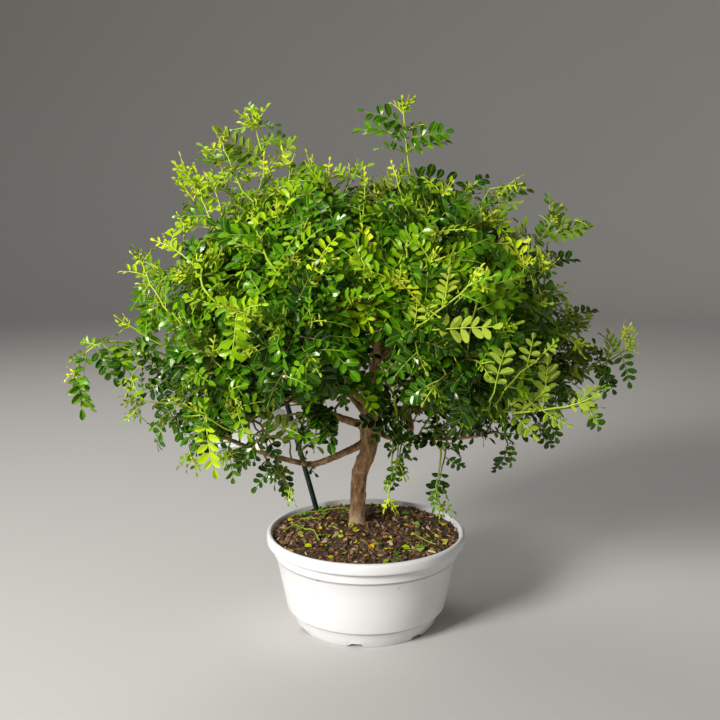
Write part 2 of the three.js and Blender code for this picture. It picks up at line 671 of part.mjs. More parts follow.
function allShoots() {
  const places = startingPlaces();
  const outer = outerShoots.map((shoot) => ({
    base: takeNearest(places, new THREE.Vector3(...shoot.from)),
    via: new THREE.Vector3(...shoot.via),
    end: new THREE.Vector3(...shoot.end),
    leaves: shoot.leaves,
  }));
  const centres = lowerShoots.map((point) => new THREE.Vector3(...point));
  for (let index = 0; index < shellShoots; index += 1) {
    centres.push(shellDirection(index).multiply(shell).add(crownCentre));
  }
  const dense = centres.map((centre) => {
    const reach = centre.clone().sub(crownCentre);
    const base = takeNearest(places, crownCentre.clone().addScaledVector(reach, 0.6));
    return { base, centre, end: centre, outward: reach.normalize() };
  });
  sizeCores(dense);
  dense.forEach((shoot) => {
    shoot.via = shoot.base.clone().lerp(shoot.end, 0.6).addScaledVector(up, 0.2 * shoot.core);
  });
  return [...outer, ...dense];
}

const bonsai = new THREE.Group();
const pot = potSolid();
const soil = soilSolid();
const woodRoom = boxed(woodSolid(gap));
const stake = stakeSolid();
const label = labelSolid();
const fixed = [pot, soil, stake, label].map(boxed);
bonsai.add(namedMesh('pot', pot, finishes.plastic));
bonsai.add(namedMesh('soil', soil, finishes.soil));
bonsai.add(namedMesh('trunk', woodSolid(0), finishes.bark));
bonsai.add(namedMesh('stake', stake, finishes.stake));
bonsai.add(namedMesh('label_plate', label, finishes.label));

// Every stem and core first, so that each leaf can keep clear of them all.
// A shoot that passes through the core of another grows into the same solid.
const clusters = [];
allShoots().reverse().forEach((shoot, index) => {
  const random = seededRandom(index + 1);
  const stem = stemSolid(shoot);
  const body = shoot.core ? stem.add(coreSolid(shoot, random)) : stem;
  const met = clusters.find((cluster) => crosses(body, [cluster.body]));
  if (met) {
    met.members.push({ shoot, random });
    met.body = boxed(met.body.solid.add(body));
  } else {
    clusters.push({ members: [{ shoot, random }], body: boxed(body) });
  }
});
clusters.forEach((cluster, index) => {
  const others = clusters.filter((other) => other !== cluster).map((other) => other.body);
  const solid = leafyCluster(cluster, [...fixed, ...others], woodRoom);
  cluster.body = boxed(solid);
  const name = `leafy_shoot_${String(index + 1).padStart(2, '0')}`;
  const isYoung = cluster.members[0].shoot.end.z > youngLevel;
  bonsai.add(namedMesh(name, solid, isYoung ? finishes.youngLeaf : finishes.leaf));
});

export default bonsai;
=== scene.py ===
import json
import math
import random
import bmesh
import bpy
from mathutils import Matrix, Vector, noise

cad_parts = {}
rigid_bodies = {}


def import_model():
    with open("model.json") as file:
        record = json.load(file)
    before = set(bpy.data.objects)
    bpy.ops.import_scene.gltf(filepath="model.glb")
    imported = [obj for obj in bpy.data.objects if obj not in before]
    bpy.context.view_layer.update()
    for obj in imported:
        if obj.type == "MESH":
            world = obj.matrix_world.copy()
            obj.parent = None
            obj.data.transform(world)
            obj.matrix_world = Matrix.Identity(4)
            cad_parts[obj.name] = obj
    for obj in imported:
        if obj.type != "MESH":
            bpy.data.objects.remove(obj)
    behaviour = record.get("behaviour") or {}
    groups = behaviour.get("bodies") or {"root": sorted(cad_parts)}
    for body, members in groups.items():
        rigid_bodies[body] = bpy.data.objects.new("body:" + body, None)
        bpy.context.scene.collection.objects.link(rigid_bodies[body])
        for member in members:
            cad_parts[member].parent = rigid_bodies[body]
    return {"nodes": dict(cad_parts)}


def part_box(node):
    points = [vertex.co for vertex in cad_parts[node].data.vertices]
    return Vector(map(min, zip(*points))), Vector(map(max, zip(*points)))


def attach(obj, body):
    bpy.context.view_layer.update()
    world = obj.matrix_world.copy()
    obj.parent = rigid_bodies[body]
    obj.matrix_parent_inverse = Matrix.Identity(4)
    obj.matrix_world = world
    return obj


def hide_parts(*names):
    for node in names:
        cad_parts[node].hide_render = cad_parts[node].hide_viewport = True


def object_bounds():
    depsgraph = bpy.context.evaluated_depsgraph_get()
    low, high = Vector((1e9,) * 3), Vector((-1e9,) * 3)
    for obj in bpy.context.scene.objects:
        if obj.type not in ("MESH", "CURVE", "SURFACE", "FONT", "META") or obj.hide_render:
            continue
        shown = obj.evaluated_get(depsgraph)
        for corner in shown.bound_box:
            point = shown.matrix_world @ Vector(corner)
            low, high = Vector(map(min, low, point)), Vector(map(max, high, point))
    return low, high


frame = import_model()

cadLow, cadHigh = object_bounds()
mm = 0.001                             # sizes are in mm unless a note says otherwise, and colours are screen colours
up = Vector((0, 0, 1))
body = "root"


def linear(red, green, blue):          # a screen colour, 0 to 255, as the shaders want it
    def one(value):
        value /= 255
        return value / 12.92 if value <= 0.04045 else ((value + 0.055) / 1.055) ** 2.4
    return one(red), one(green), one(blue), 1.0


class Pin:                             # one output socket, so that shader sums read as sums
    def __init__(self, graph, socket):
        self.graph = graph
        self.socket = socket

    def sum(self, operation, other, swapped=False):
        pair = (other, self) if swapped else (self, other)
        return self.graph.add("ShaderNodeMath", {"operation": operation}, {0: pair[0], 1: pair[1]})

    def __add__(self, other):
        return self.sum("ADD", other)

    def __radd__(self, other):
        return self.sum("ADD", other, True)

    def __sub__(self, other):
        return self.sum("SUBTRACT", other)

    def __rsub__(self, other):
        return self.sum("SUBTRACT", other, True)

    def __mul__(self, other):
        return self.sum("MULTIPLY", other)

    def __rmul__(self, other):
        return self.sum("MULTIPLY", other, True)


class Graph:                           # the nodes of one material or one geometry tree
    def __init__(self, tree):
        self.tree = tree

    def add(self, kind, settings=None, inputs=None, output=0):
        node = self.tree.nodes.new(kind)
        for key, value in (settings or {}).items():
            if key == "stops":
                ramp = node.color_ramp
                while len(ramp.elements) < len(value):
                    ramp.elements.new(0.5)
                for stop, (place, colour) in zip(ramp.elements, value):
                    stop.position = place
                    stop.color = colour
            else:
                setattr(node, key, value)
        for key, value in (inputs or {}).items():
            if isinstance(value, Pin):
                self.tree.links.new(value.socket, node.inputs[key])
            else:
                node.inputs[key].default_value = value
        return Pin(self, node.outputs[output]) if len(node.outputs) else None

    def clamp(self, value, low=0.0, high=1.0):
        return self.add("ShaderNodeClamp", None, {"Value": value, "Min": low, "Max": high})

    def smooth(self, value, low, high):    # 0 below low, 1 above high
        return self.add("ShaderNodeMapRange", {"interpolation_type": "SMOOTHSTEP"},
                        {"Value": value, "From Min": low, "From Max": high})

    def blend(self, factor, first, second, way="MIX"):
        return self.add("ShaderNodeMix", {"data_type": "RGBA", "blend_type": way},
                        {0: factor, 6: first, 7: second}, 2)

    def ramp(self, value, tones):          # each tone is a place from 0 to 1 and a screen colour
        stops = [(place, linear(*colour)) for place, *colour in tones]
        return self.add("ShaderNodeValToRGB", {"stops": stops}, {0: value})

    def stain(self, colour, share, tone):  # a screen colour laid over another by a share
        return self.blend(share, colour, linear(*tone))

    def axis(self, vector, number):        # x, y or z of a vector as 0, 1 or 2
        return self.add("ShaderNodeSeparateXYZ", None, {0: vector}, number)

    def place(self, scale=(1, 1, 1)):      # Object coordinates, stretched by scale
        spot = self.add("ShaderNodeTexCoord", output="Object")
        return self.add("ShaderNodeMapping", None, {"Vector": spot, "Scale": scale})

    def noise(self, vector, scale, detail=3.0, roughness=0.55):
        return self.add("ShaderNodeTexNoise", None,
                        {"Vector": vector, "Scale": scale, "Detail": detail, "Roughness": roughness})

    def named(self, name):                 # a number stored on the mesh, for a material
        return self.add("ShaderNodeAttribute", {"attribute_name": name}, output="Fac")

    def stored(self, name, kind="FLOAT"):  # the same for a geometry tree
        return self.add("GeometryNodeInputNamedAttribute", {"data_type": kind}, {"Name": name})

    def chance(self, kind, low, high, seed):  # a random vector, number or whole number for each copy
        place = ("FLOAT_VECTOR", "FLOAT", "INT").index(kind)
        return self.add("FunctionNodeRandomValue", {"data_type": kind},
                        {2 * place: low, 2 * place + 1: high, "Seed": seed}, place)

    def copies(self, points, shapes, pick, turn, size):  # one of the collection's shapes on each point
        shape = self.add("GeometryNodeCollectionInfo", None,
                         {"Collection": shapes, "Separate Children": True, "Reset Children": True})
        return self.add("GeometryNodeInstanceOnPoints", None, {
            "Points": points, "Instance": shape, "Pick Instance": True, "Instance Index": pick,
            "Rotation": turn, "Scale": size})

    def swept(self, lines, sides):         # a round tube along each line, as thick as the line's girth
        curve = self.add("GeometryNodeMeshToCurve", None, {"Mesh": lines})
        ring = self.add("GeometryNodeCurvePrimitiveCircle", None, {"Resolution": sides, "Radius": 1.0})
        return self.add("GeometryNodeCurveToMesh", None, {
            "Curve": curve, "Profile Curve": ring, "Scale": self.stored("girth"), "Fill Caps": True})

    def bump(self, height, distance, strength=1.0):
        return self.add("ShaderNodeBump", None,
                        {"Height": height, "Distance": distance, "Strength": strength})

    def surface(self, **inputs):           # the shader, with _ for the spaces in its input names
        shader = self.add("ShaderNodeBsdfPrincipled", None,
                          {key.replace("_", " "): value for key, value in inputs.items()})
        self.add("ShaderNodeOutputMaterial", None, {"Surface": shader})


def newMaterial(name):
    made = bpy.data.materials.new(name)
    made.use_nodes = True
    made.node_tree.nodes.clear()
    return made, Graph(made.node_tree)


def newTree(name, sockets):            # a geometry tree with named inputs, and a start and an end
    tree = bpy.data.node_groups.new(name, "GeometryNodeTree")
    tree.interface.new_socket("Geometry", in_out="INPUT", socket_type="NodeSocketGeometry")
    tree.interface.new_socket("Geometry", in_out="OUTPUT", socket_type="NodeSocketGeometry")
    for label, kind in sockets.items():
        tree.interface.new_socket(label, in_out="INPUT", socket_type="NodeSocket" + kind)
    graph = Graph(tree)
    start = tree.nodes.new("NodeGroupInput")
    ends = {socket.name: Pin(graph, socket) for socket in start.outputs if socket.name}
    return tree, graph, ends


def endTree(graph, geometry, *layers): # copies are made real, then each layer sets its material
    geometry = graph.add("GeometryNodeRealizeInstances", None, {"Geometry": geometry})
    for layer in layers:
        geometry = graph.add("GeometryNodeSetMaterial", None, {"Geometry": geometry, **layer})
    end = graph.tree.nodes.new("NodeGroupOutput")
    graph.tree.links.new(geometry.socket, end.inputs[0])


def plainMesh(piece):                  # what the piece's modifiers make of it
    piece.update_tag()
    bpy.context.view_layer.update()
    state = bpy.context.evaluated_depsgraph_get()
    return bpy.data.meshes.new_from_object(piece.evaluated_get(state), depsgraph=state)


def grown(source, tree, values, name): # the tree's result on a source object, as a plain piece
    modifier = source.modifiers.new("grow", "NODES")
    modifier.node_group = tree
    for socket in tree.interface.items_tree:
        if socket.in_out == "INPUT" and socket.name in values:
            modifier[socket.identifier] = values[socket.name]
    mesh = plainMesh(source)
    mesh.name = name
    source.modifiers.remove(modifier)
    bpy.data.objects.remove(source)
    return shown(name, mesh)


def shown(name, mesh, material=None, smooth=None):  # puts a mesh in the scene, where it is
    piece = bpy.data.objects.new(name, mesh)
    bpy.context.scene.collection.objects.link(piece)
    if material:
        mesh.materials.clear()
        mesh.materials.append(material)
    if smooth is not None:
        mesh.shade_smooth()
        mesh.set_sharp_from_angle(angle=math.radians(smooth))
    return piece


def meshOf(name, points, faces, edges=()):
    mesh = bpy.data.meshes.new(name)
    mesh.from_pydata([tuple(point) for point in points], list(edges), faces)
    mesh.update()
    return mesh


def withNumbers(mesh, name, values, kind="FLOAT", domain="POINT"):  # values stored on the mesh
    layer = mesh.attributes.new(name, kind, domain)
    field = "vector" if kind == "FLOAT_VECTOR" else "value"
    flat = [part for value in values for part in value] if kind == "FLOAT_VECTOR" else list(values)
    layer.data.foreach_set(field, flat)


def fixedNormals(mesh):                # doubles merged, then all faces turned outwards
    work = bmesh.new()
    work.from_mesh(mesh)
    bmesh.ops.remove_doubles(work, verts=work.verts, dist=1e-7)
    bmesh.ops.recalc_face_normals(work, faces=work.faces)
    work.to_mesh(mesh)
    work.free()
    return mesh


def ready(piece, slot, *nodes):        # hands a finished piece to the frame
    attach(piece, body)
    if nodes:
        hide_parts(*nodes)
    print("made", piece.name, sum(len(face.vertices) - 2 for face in piece.data.polygons), "triangles")


def mix(first, second, share):
    return first + (second - first) * share


def limited(value, low=0.0, high=1.0):
    return max(low, min(high, value))


def circle(radius, height, count):     # points round the upright axis
    turns = [2 * math.pi * side / count for side in range(count)]
    return [Vector((radius * math.cos(turn), radius * math.sin(turn), height)) for turn in turns]


def lofted(rows, closed=False, capped=False, first=0):  # a skin over rows of points; a row may be one point
    rings, faces = [], []
    for row in rows:
        rings.append(range(first, first + len(row)))
        first += len(row)
    for low, high in zip(rings, rings[1:] + (rings[:1] if closed else [])):
        for n in range(max(len(low), len(high))):
            face = (low[n % len(low)], low[(n + 1) % len(low)], high[(n + 1) % len(high)], high[n % len(high)])
            if len(set(face)) > 2:
                faces.append(tuple(dict.fromkeys(face)))
    if capped:
        faces += [tuple(reversed(rings[0])), tuple(rings[-1])]
    return [spot for row in rows for spot in row], faces


boxFaces = [(0, 1, 3, 2), (4, 6, 7, 5), (0, 4, 5, 1), (2, 3, 7, 6), (0, 2, 6, 4), (1, 5, 7, 3)]


studio = {
    "lens": 48.06,                     # mm on a 36 mm sensor
    "pixelsPerMm": 20,                 # 720 pixels over the 36 mm
    "eye": (-0.00543, -0.8399, 0.3814),  # this, the floor and the lights are in metres
    "tiltDown": 9.51,                  # degrees
    "floorColour": (200, 198, 195),
    "floorShade": (188, 185, 181),
    "floorRadius": 2.4,
    "wallHeight": 4.5,
    "lights": [                        # name, place, aim, width, power, colour, and spread in degrees
        ("key", (-1.25, -1.3, 1.02), (0, 0, 0.24), 0.55, 23.4, (1, 0.99, 0.965), 120),
        ("fill", (1.5, -1.1, 0.7), (0, 0, 0.22), 1.3, 1.7, (1, 0.99, 0.98), 180),
        ("rim", (-0.6, 0.9, 1.5), (0, 0, 0.3), 0.8, 8.0, (1, 0.99, 0.96), 180),
    ],
    "skyColour": (1, 0.99, 0.98, 1),
    "skyStrength": 0.25,
}
tilt = math.radians(studio["tiltDown"])
focal = studio["lens"] * studio["pixelsPerMm"]


def makeCamera():
    lens = bpy.data.cameras.new("camera")
    lens.lens = studio["lens"]
    lens.sensor_width = 36
    camera = bpy.data.objects.new("camera", lens)
    camera.location = studio["eye"]
    camera.rotation_euler = (math.radians(90 - studio["tiltDown"]), 0, 0)
    bpy.context.scene.collection.objects.link(camera)
    bpy.context.scene.camera = camera
    bpy.context.scene.view_settings.view_transform = "Standard"


def seenAt(spot):                      # where a point in mm falls in the 720-pixel picture
    away = spot * mm - Vector(studio["eye"])
    depth = away.y * math.cos(tilt) - away.z * math.sin(tilt)
    rise = away.y * math.sin(tilt) + away.z * math.cos(tilt)
    scale = focal / depth
    return 360 + scale * away.x, 360 - scale * rise


def fromPicture(across, down, y):      # the point in mm behind a pixel, at a depth y
    ray = Vector(((across - 360) / focal, math.cos(tilt), -math.sin(tilt)))
    ray += Vector((0, math.sin(tilt), math.cos(tilt))) * ((360 - down) / focal)
    eye = Vector(studio["eye"]) / mm
    return eye + ray * ((y - eye.y) / ray.y)


def makeFloor():                       # a round floor that curves up into a wall, a hair below the pot's foot
    radius, below, sides = studio["floorRadius"], -0.0002, 96
    turns = [turn * math.pi / 24 for turn in range(12, 0, -1)]
    rows = [(radius + 1, studio["wallHeight"])]
    rows += [(radius + math.sin(turn), 1 - math.cos(turn)) for turn in turns] + [(radius, 0.0)]
    points, faces = lofted([circle(wide, high + below, sides) for wide, high in rows] + [[Vector((0, 0, below))]])
    made, graph = newMaterial("floor_pale")
    cloud = graph.noise(graph.place(), 1.3, 4)
    graph.surface(Base_Color=graph.stain(linear(*studio["floorColour"]), cloud * 0.25, studio["floorShade"]),
                  Roughness=0.85)
    shown("floor", meshOf("floor", points, faces), made, 30)


def makeLight(name, place, aim, size, power, colour, spread):
    light = bpy.data.lights.new(name, "AREA")
    light.size = size
    light.spread = math.radians(spread)
    light.energy = power
    light.color = colour
    lamp = bpy.data.objects.new(name, light)
    lamp.location = place
    lamp.rotation_euler = (Vector(aim) - Vector(place)).to_track_quat("-Z", "Y").to_euler()
    bpy.context.scene.collection.objects.link(lamp)


makeCamera()
makeFloor()
for lamp in studio["lights"]:
    makeLight(*lamp)
world = bpy.data.worlds.new("sky")
bpy.context.scene.world = world
world.use_nodes = True
world.node_tree.nodes["Background"].inputs["Color"].default_value = studio["skyColour"]
world.node_tree.nodes["Background"].inputs["Strength"].default_value = studio["skyStrength"]
print("camera, floor and light are set")


potSizes = {
    "sides": 192,                      # faces round the pot
    "notches": 7,                      # cut in the foot ring
    "notchWidth": 14.5,
    "notchHeight": 2.8,
    "notchSlope": 2.2,                 # the length of its slanted ends
    "footRadius": 63.4,
    "firstNotch": -98.0,               # degrees
    "drainHoles": 4,
    "drainRadius": 5.0,
    "drainCircle": 38.0,               # from the middle of the floor to the middle of a hole
    "white": (230, 230, 230),
    "dust": (214, 209, 200),
    "streak": (214, 206, 192),
    "rimSoil": (196, 182, 162),
    # the colour of the painted shade under the pot's ledges
    "ledgeShadeColour": (122, 114, 106),
    "speck": (84, 70, 58),
    "paintedLedgeShade": [(0.0153, 0.42), (0.065, 0.5), (0.0743, 0.3)],  # height in metres of each ledge, and strength of the painted shade just under it
    "specks": [(22.6, -80.2, 72.6, 0.9), (35.6, -75.6, 72.8, 0.8), (18.4, -75.2, 44.6, 0.9),
               (-33.0, -61.0, 20.6, 0.7)],  # place and size of the dark marks on the front
}
potProfile = [                         # radius and height, from the foot up, over the rim and down inside
    (60.0, 0.0), (60.5, 0.0), (62.9, 0.0), (63.4, 0.5), (66.6, 7.8), (69.9, 15.0), (70.4, 15.5),
    (71.6, 15.7), (72.2, 16.0), (72.5, 16.7), (75.6, 32.4), (78.8, 48.6), (82.05, 64.6), (82.5, 65.2),
    (83.3, 65.4), (83.7, 65.8), (83.8, 66.4), (84.3, 73.4), (84.7, 74.3), (85.6, 74.6), (88.0, 74.7),
    (89.0, 75.0), (89.7, 75.8), (90.0, 77.0), (90.0, 82.0), (89.8, 83.3), (89.2, 84.3), (88.2, 84.9),
    (87.4, 85.0), (86.6, 84.9), (85.9, 84.2), (85.4, 83.0), (81.2, 72.0), (75.4, 44.0), (69.6, 16.0),
    (67.2, 12.0), (64.0, 9.5), (40.0, 9.5), (0.0, 9.5), (0.0, 6.5), (40.0, 6.5), (58.2, 6.5), (58.8, 6.0),
    (59.6, 1.2),
]
# rows of the profile that move where the foot is notched: radius there, and height over the notch
notchRows = {0: (59.4, 0.0), 1: (60.2, 0.2), 2: (63.9, 0.4), 3: (64.9, 0.6), 43: (59.0, 0.9)}


def notchDepth(angle):                 # how far the foot ring is cut away at an angle, in mm
    sizes = potSizes
    step = 360 / sizes["notches"]
    off = (math.degrees(angle) - sizes["firstNotch"] + step / 2) % step - step / 2
    along = abs(math.radians(off)) * sizes["footRadius"]
    return sizes["notchHeight"] * limited((sizes["notchWidth"] / 2 - along) / sizes["notchSlope"])


def potRow(number, radius, height):    # one row of the profile, turned
    if radius == 0:
        return [Vector((0, 0, height * mm))]
    row = []
    for side in range(potSizes["sides"]):
        angle = 2 * math.pi * side / potSizes["sides"]
        depth = notchDepth(angle)
        r, z = radius, height
        if number in notchRows and depth > 0:
            share = depth / potSizes["notchHeight"]
            r = mix(radius, notchRows[number][0], share)
            z = max(height, mix(height, depth + notchRows[number][1], share))
        row.append(Vector((r * math.cos(angle) * mm, r * math.sin(angle) * mm, z * mm)))
    return row


def cutDrains(pot):
    radius, reach = potSizes["drainRadius"], potSizes["drainCircle"]
    for hole in range(potSizes["drainHoles"]):
        angle = (hole + 0.5) * 2 * math.pi / potSizes["drainHoles"]
        ring = [Vector((radius * math.cos(t * math.pi / 16) + reach * math.cos(angle),
                        radius * math.sin(t * math.pi / 16) + reach * math.sin(angle), 0)) for t in range(32)]
        corners, sides = lofted([[(p + Vector((0, 0, z))) * mm for p in ring] for z in (4, 12)], capped=True)
        cutter = shown("drain", meshOf("drain", corners, sides))
        cut = pot.modifiers.new("cut", "BOOLEAN")
        cut.operation = "DIFFERENCE"
        cut.object = cutter
        mesh = plainMesh(pot)
        pot.modifiers.remove(cut)
        pot.data = mesh
        bpy.data.objects.remove(cutter)


def potMaterial():
    sizes = potSizes
    made, graph = newMaterial("pot_white")
    spot = graph.place()
    height = graph.axis(spot, 2)
    cloud = graph.noise(spot, 26, 4)
    grain = graph.noise(spot, 520, 2)
    streaks = graph.noise(graph.place((1, 1, 0.12)), 95, 3)
    specks = graph.add("ShaderNodeTexVoronoi", {"feature": "F1"}, {"Vector": spot, "Scale": 120.0})
    few = graph.noise(spot, 31, 2)
    underLip = graph.smooth(height, 0.058, 0.073) * (1 - graph.smooth(height, 0.0765, 0.078))
    dirt = graph.smooth(0.17 - specks, 0, 0.06) * graph.smooth(few, 0.56, 0.62)
    dirt = graph.clamp(dirt * (0.16 + 0.84 * underLip))
    dust = graph.smooth(cloud, 0.5, 0.75) * (0.10 + 0.4 * (1 - graph.smooth(height, 0.0, 0.02)))
    for x, y, z, size in sizes["specks"]:
        far = graph.add("ShaderNodeVectorMath", {"operation": "DISTANCE"}, {0: spot, 1: (x * mm, y * mm, z * mm)}, 1)
        dirt = graph.clamp(dirt + 0.8 * graph.smooth(size * mm - far + (grain - 0.5) * 0.001, 0, 0.0004))
    rimSoil = graph.smooth(height, 0.0842, 0.0850) * graph.smooth(few, 0.5, 0.66) * 0.35
    colour = graph.stain(linear(*sizes["white"]), dust, sizes["dust"])
    colour = graph.stain(colour, graph.smooth(streaks, 0.6, 0.8) * 0.10, sizes["streak"])
    colour = graph.stain(colour, rimSoil, sizes["rimSoil"])
    # painted shade: a dark band on the wall just under each ledge, where the ledge's shadow falls
    for ledge, strength in sizes["paintedLedgeShade"]:
        line = graph.smooth(height, ledge - 0.0024, ledge - 0.0014) * (1 - graph.smooth(height, ledge, ledge + 0.0004))
        colour = graph.stain(colour, line * (0.7 + 0.6 * cloud) * strength, sizes["ledgeShadeColour"])
    colour = graph.stain(colour, dirt, sizes["speck"])
    graph.surface(Base_Color=colour, Roughness=graph.clamp(0.33 + cloud * 0.14 + dirt * 0.3),
                  Specular_IOR_Level=0.5, Coat_Weight=0.12, Coat_Roughness=0.25,
                  Normal=graph.bump(grain * 0.4 + streaks, 0.00012, 0.5))
    return made


def makePot():
    rows = [potRow(number, radius, height) for number, (radius, height) in enumerate(potProfile)]
    pot = shown("white_pot", meshOf("white_pot", *lofted(rows, closed=True)))
    cutDrains(pot)
    pot.data.materials.append(potMaterial())
    pot.data.shade_smooth()
    pot.data.set_sharp_from_angle(angle=math.radians(38))
    ready(pot, "pot", "pot")


makePot()


soilSizes = {
    "rimLevel": 81.5,                  # the top of the bed at the wall
    "mound": 5.0,                      # how much higher it is in the middle
    "lumps": [(3.0, 9.0, 1.5), (9.0, 3.2, 0.7)],  # where in the noise, width and height of the uneven places
    "sunk": 0.6,                       # the bed lies lower by this, under its chips
    "topRadius": 83.6,
    "rings": 40,
    "sides": 128,
    "chipsPerSquareMetre": 56000.0,
    "chipLow": 2.4,                    # the shortest and the longest chip
    "chipHigh": 9.0,
    "chipShapes": 6,
    "chipReach": 0.0826,               # metres from the middle, at the level below, and wider above it
    "reachLevel": 0.0745,
    "reachSlope": 0.2,
    "reachChange": (-0.004, 0.0018),
    "buried": [(80.6, 72.2), (69.0, 16.2), (63.3, 9.9)],  # radius and height of the bed against the wall
    "seed": 11,
    "soilTones": [(0.25, 34, 25, 19), (0.5, 82, 63, 48), (0.68, 126, 102, 78), (0.82, 182, 154, 118)],
    "damp": (34, 24, 18),
    "chipTones": [(0.0, 42, 30, 20), (0.30, 90, 68, 50), (0.55, 134, 106, 78), (0.72, 136, 90, 60),
                  (0.9, 178, 146, 108), (0.99, 220, 196, 156)],
    "chipFibre": (44, 31, 24),
    "chipDust": (108, 84, 60),
}


def soilLevel(x, y):                   # height of the mulch in mm
    radius = math.hypot(x, y)
    share = limited(radius / soilSizes["topRadius"])
    rise = soilSizes["mound"] * (1 - share * share) * (0.75 + 0.25 * y / max(radius, 1e-6))
    lumps = sum(noise.noise(Vector((x, y, z)) / width) * high for z, width, high in soilSizes["lumps"])
    return soilSizes["rimLevel"] + rise + lumps * (1 - share ** 6) - soilSizes["sunk"]


def makeSoil():
    sides, rings = soilSizes["sides"], soilSizes["rings"]
    points = [Vector((0, 0, soilLevel(0.001, 0)))]
    faces = []
    for ring in range(1, rings + 1):
        radius = soilSizes["topRadius"] * ring / rings
        for side in range(sides):
            angle = 2 * math.pi * side / sides
            x, y = radius * math.cos(angle), radius * math.sin(angle)
            points.append(Vector((x, y, soilLevel(x, y))))
    topCount = len(points)
    for side in range(sides):
        after = (side + 1) % sides
        faces.append((0, 1 + side, 1 + after))
        for ring in range(rings - 1):
            a, b = 1 + ring * sides, 1 + (ring + 1) * sides
            faces.append((a + side, b + side, b + after, a + after))
    topFaces = list(faces)
    for radius, height in soilSizes["buried"]:
        first = len(points)
        points += circle(radius, height, sides)
        for side in range(sides):
            after = (side + 1) % sides
            faces.append((first - sides + side, first + side, first + after, first - sides + after))
    faces.append(tuple(len(points) - 1 - side for side in range(sides)))
    made, graph = newMaterial("soil_dark")
    spot = graph.place()
    fine = graph.noise(spot, 420, 4, 0.7)
    wide = graph.noise(spot, 60, 3)
    colour = graph.ramp(fine, soilSizes["soilTones"])
    colour = graph.stain(colour, graph.smooth(wide, 0.5, 0.7) * 0.5, soilSizes["damp"])
    graph.surface(Base_Color=colour, Roughness=0.95, Specular_IOR_Level=0.25, Normal=graph.bump(fine, 0.0012))
    scaled = [point * mm for point in points]
    soil = shown("soil_bed", meshOf("soil_bed", scaled, faces), made, 60)
    ready(soil, "soil", "soil")
    return shown("mulch_ground", meshOf("mulch_ground", scaled[:topCount], topFaces))


def chipShapes(draw):                  # a few bark chips, each an uneven wedge about 1 unit long
    shapes = bpy.data.collections.new("bark_chip_shapes")
    for number in range(soilSizes["chipShapes"]):
        width, depth = draw.uniform(0.16, 0.34), draw.uniform(0.06, 0.14)
        corners = [Vector((x * 0.5 * draw.uniform(0.7, 1), y * width * draw.uniform(0.45, 1),
                           z * depth * draw.uniform(0.5, 1.1) + 0.05 * x * y))
                   for x in (-1, 1) for y in (-1, 1) for z in (-1, 1)]
        chip = bpy.data.objects.new("chip%d" % number, meshOf("chip%d" % number, corners, boxFaces))
        shapes.objects.link(chip)
    return shapes


def discard(shapes):                   # takes the shapes of the copies away again
    for shape in list(shapes.objects):
        bpy.data.objects.remove(shape)
    bpy.data.collections.remove(shapes)


def scatterTree():                     # chips scattered over a surface, leaning a little with it
    tree, graph, ends = newTree("scatter_chips", {
        "Chips": "Collection", "Per square metre": "Float", "Shortest": "Float", "Longest": "Float",
        "Seed": "Int", "Material": "Material"})
    points = graph.add("GeometryNodeDistributePointsOnFaces", {"distribute_method": "RANDOM"},
                       {"Mesh": ends["Geometry"], "Density": ends["Per square metre"], "Seed": ends["Seed"]})
    turn = Pin(graph, points.socket.node.outputs["Rotation"])
    lean = graph.chance("FLOAT_VECTOR", (-0.75, -0.75, -3.2), (0.75, 0.75, 3.2), 3)
    turn = graph.add("FunctionNodeRotateRotation", {"rotation_space": "LOCAL"}, {0: turn, 1: lean})
    size = graph.chance("FLOAT", ends["Shortest"], ends["Longest"], 4)
    pick = graph.chance("INT", 0, soilSizes["chipShapes"] - 1, 5)
    copies = graph.copies(points, ends["Chips"], pick, turn, size)
    copies = graph.add("GeometryNodeStoreNamedAttribute", {"data_type": "FLOAT", "domain": "INSTANCE"},
                       {"Geometry": copies, "Name": "tint", "Value": graph.chance("FLOAT", 0.0, 1.0, 6)})
    endTree(graph, copies, {"Material": ends["Material"]})
    return tree


def makeMulch(top):
    made, graph = newMaterial("bark_mulch")
    spot = graph.place()
    fibre = graph.noise(graph.place((1, 1, 2.5)), 700, 3, 0.65)
    colour = graph.ramp(graph.named("tint"), soilSizes["chipTones"])
    colour = graph.stain(colour, graph.smooth(fibre, 0.4, 0.72) * 0.45, soilSizes["chipFibre"])
    colour = graph.stain(colour, graph.smooth(graph.noise(spot, 90, 2), 0.55, 0.7) * 0.3, soilSizes["chipDust"])
    graph.surface(Base_Color=colour, Roughness=0.86, Specular_IOR_Level=0.3, Normal=graph.bump(fibre, 0.0006))
    draw = random.Random(soilSizes["seed"])
    shapes = chipShapes(draw)
    mulch = grown(top, scatterTree(), {
        "Chips": shapes, "Per square metre": soilSizes["chipsPerSquareMetre"], "Shortest": soilSizes["chipLow"] * mm,
        "Longest": soilSizes["chipHigh"] * mm, "Seed": soilSizes["seed"], "Material": made}, "bark_mulch_chips")
    for point in mulch.data.vertices:  # none reaches through the pot's wall
        radius = math.hypot(point.co.x, point.co.y)
        wider = (point.co.z - soilSizes["reachLevel"]) * soilSizes["reachSlope"]
        most = soilSizes["chipReach"] + limited(wider, *soilSizes["reachChange"])
        if radius > most:
            point.co.x *= most / radius
            point.co.y *= most / radius
    discard(shapes)
    ready(mulch, "soil")


makeMulch(makeSoil())
print("pot and soil are done")


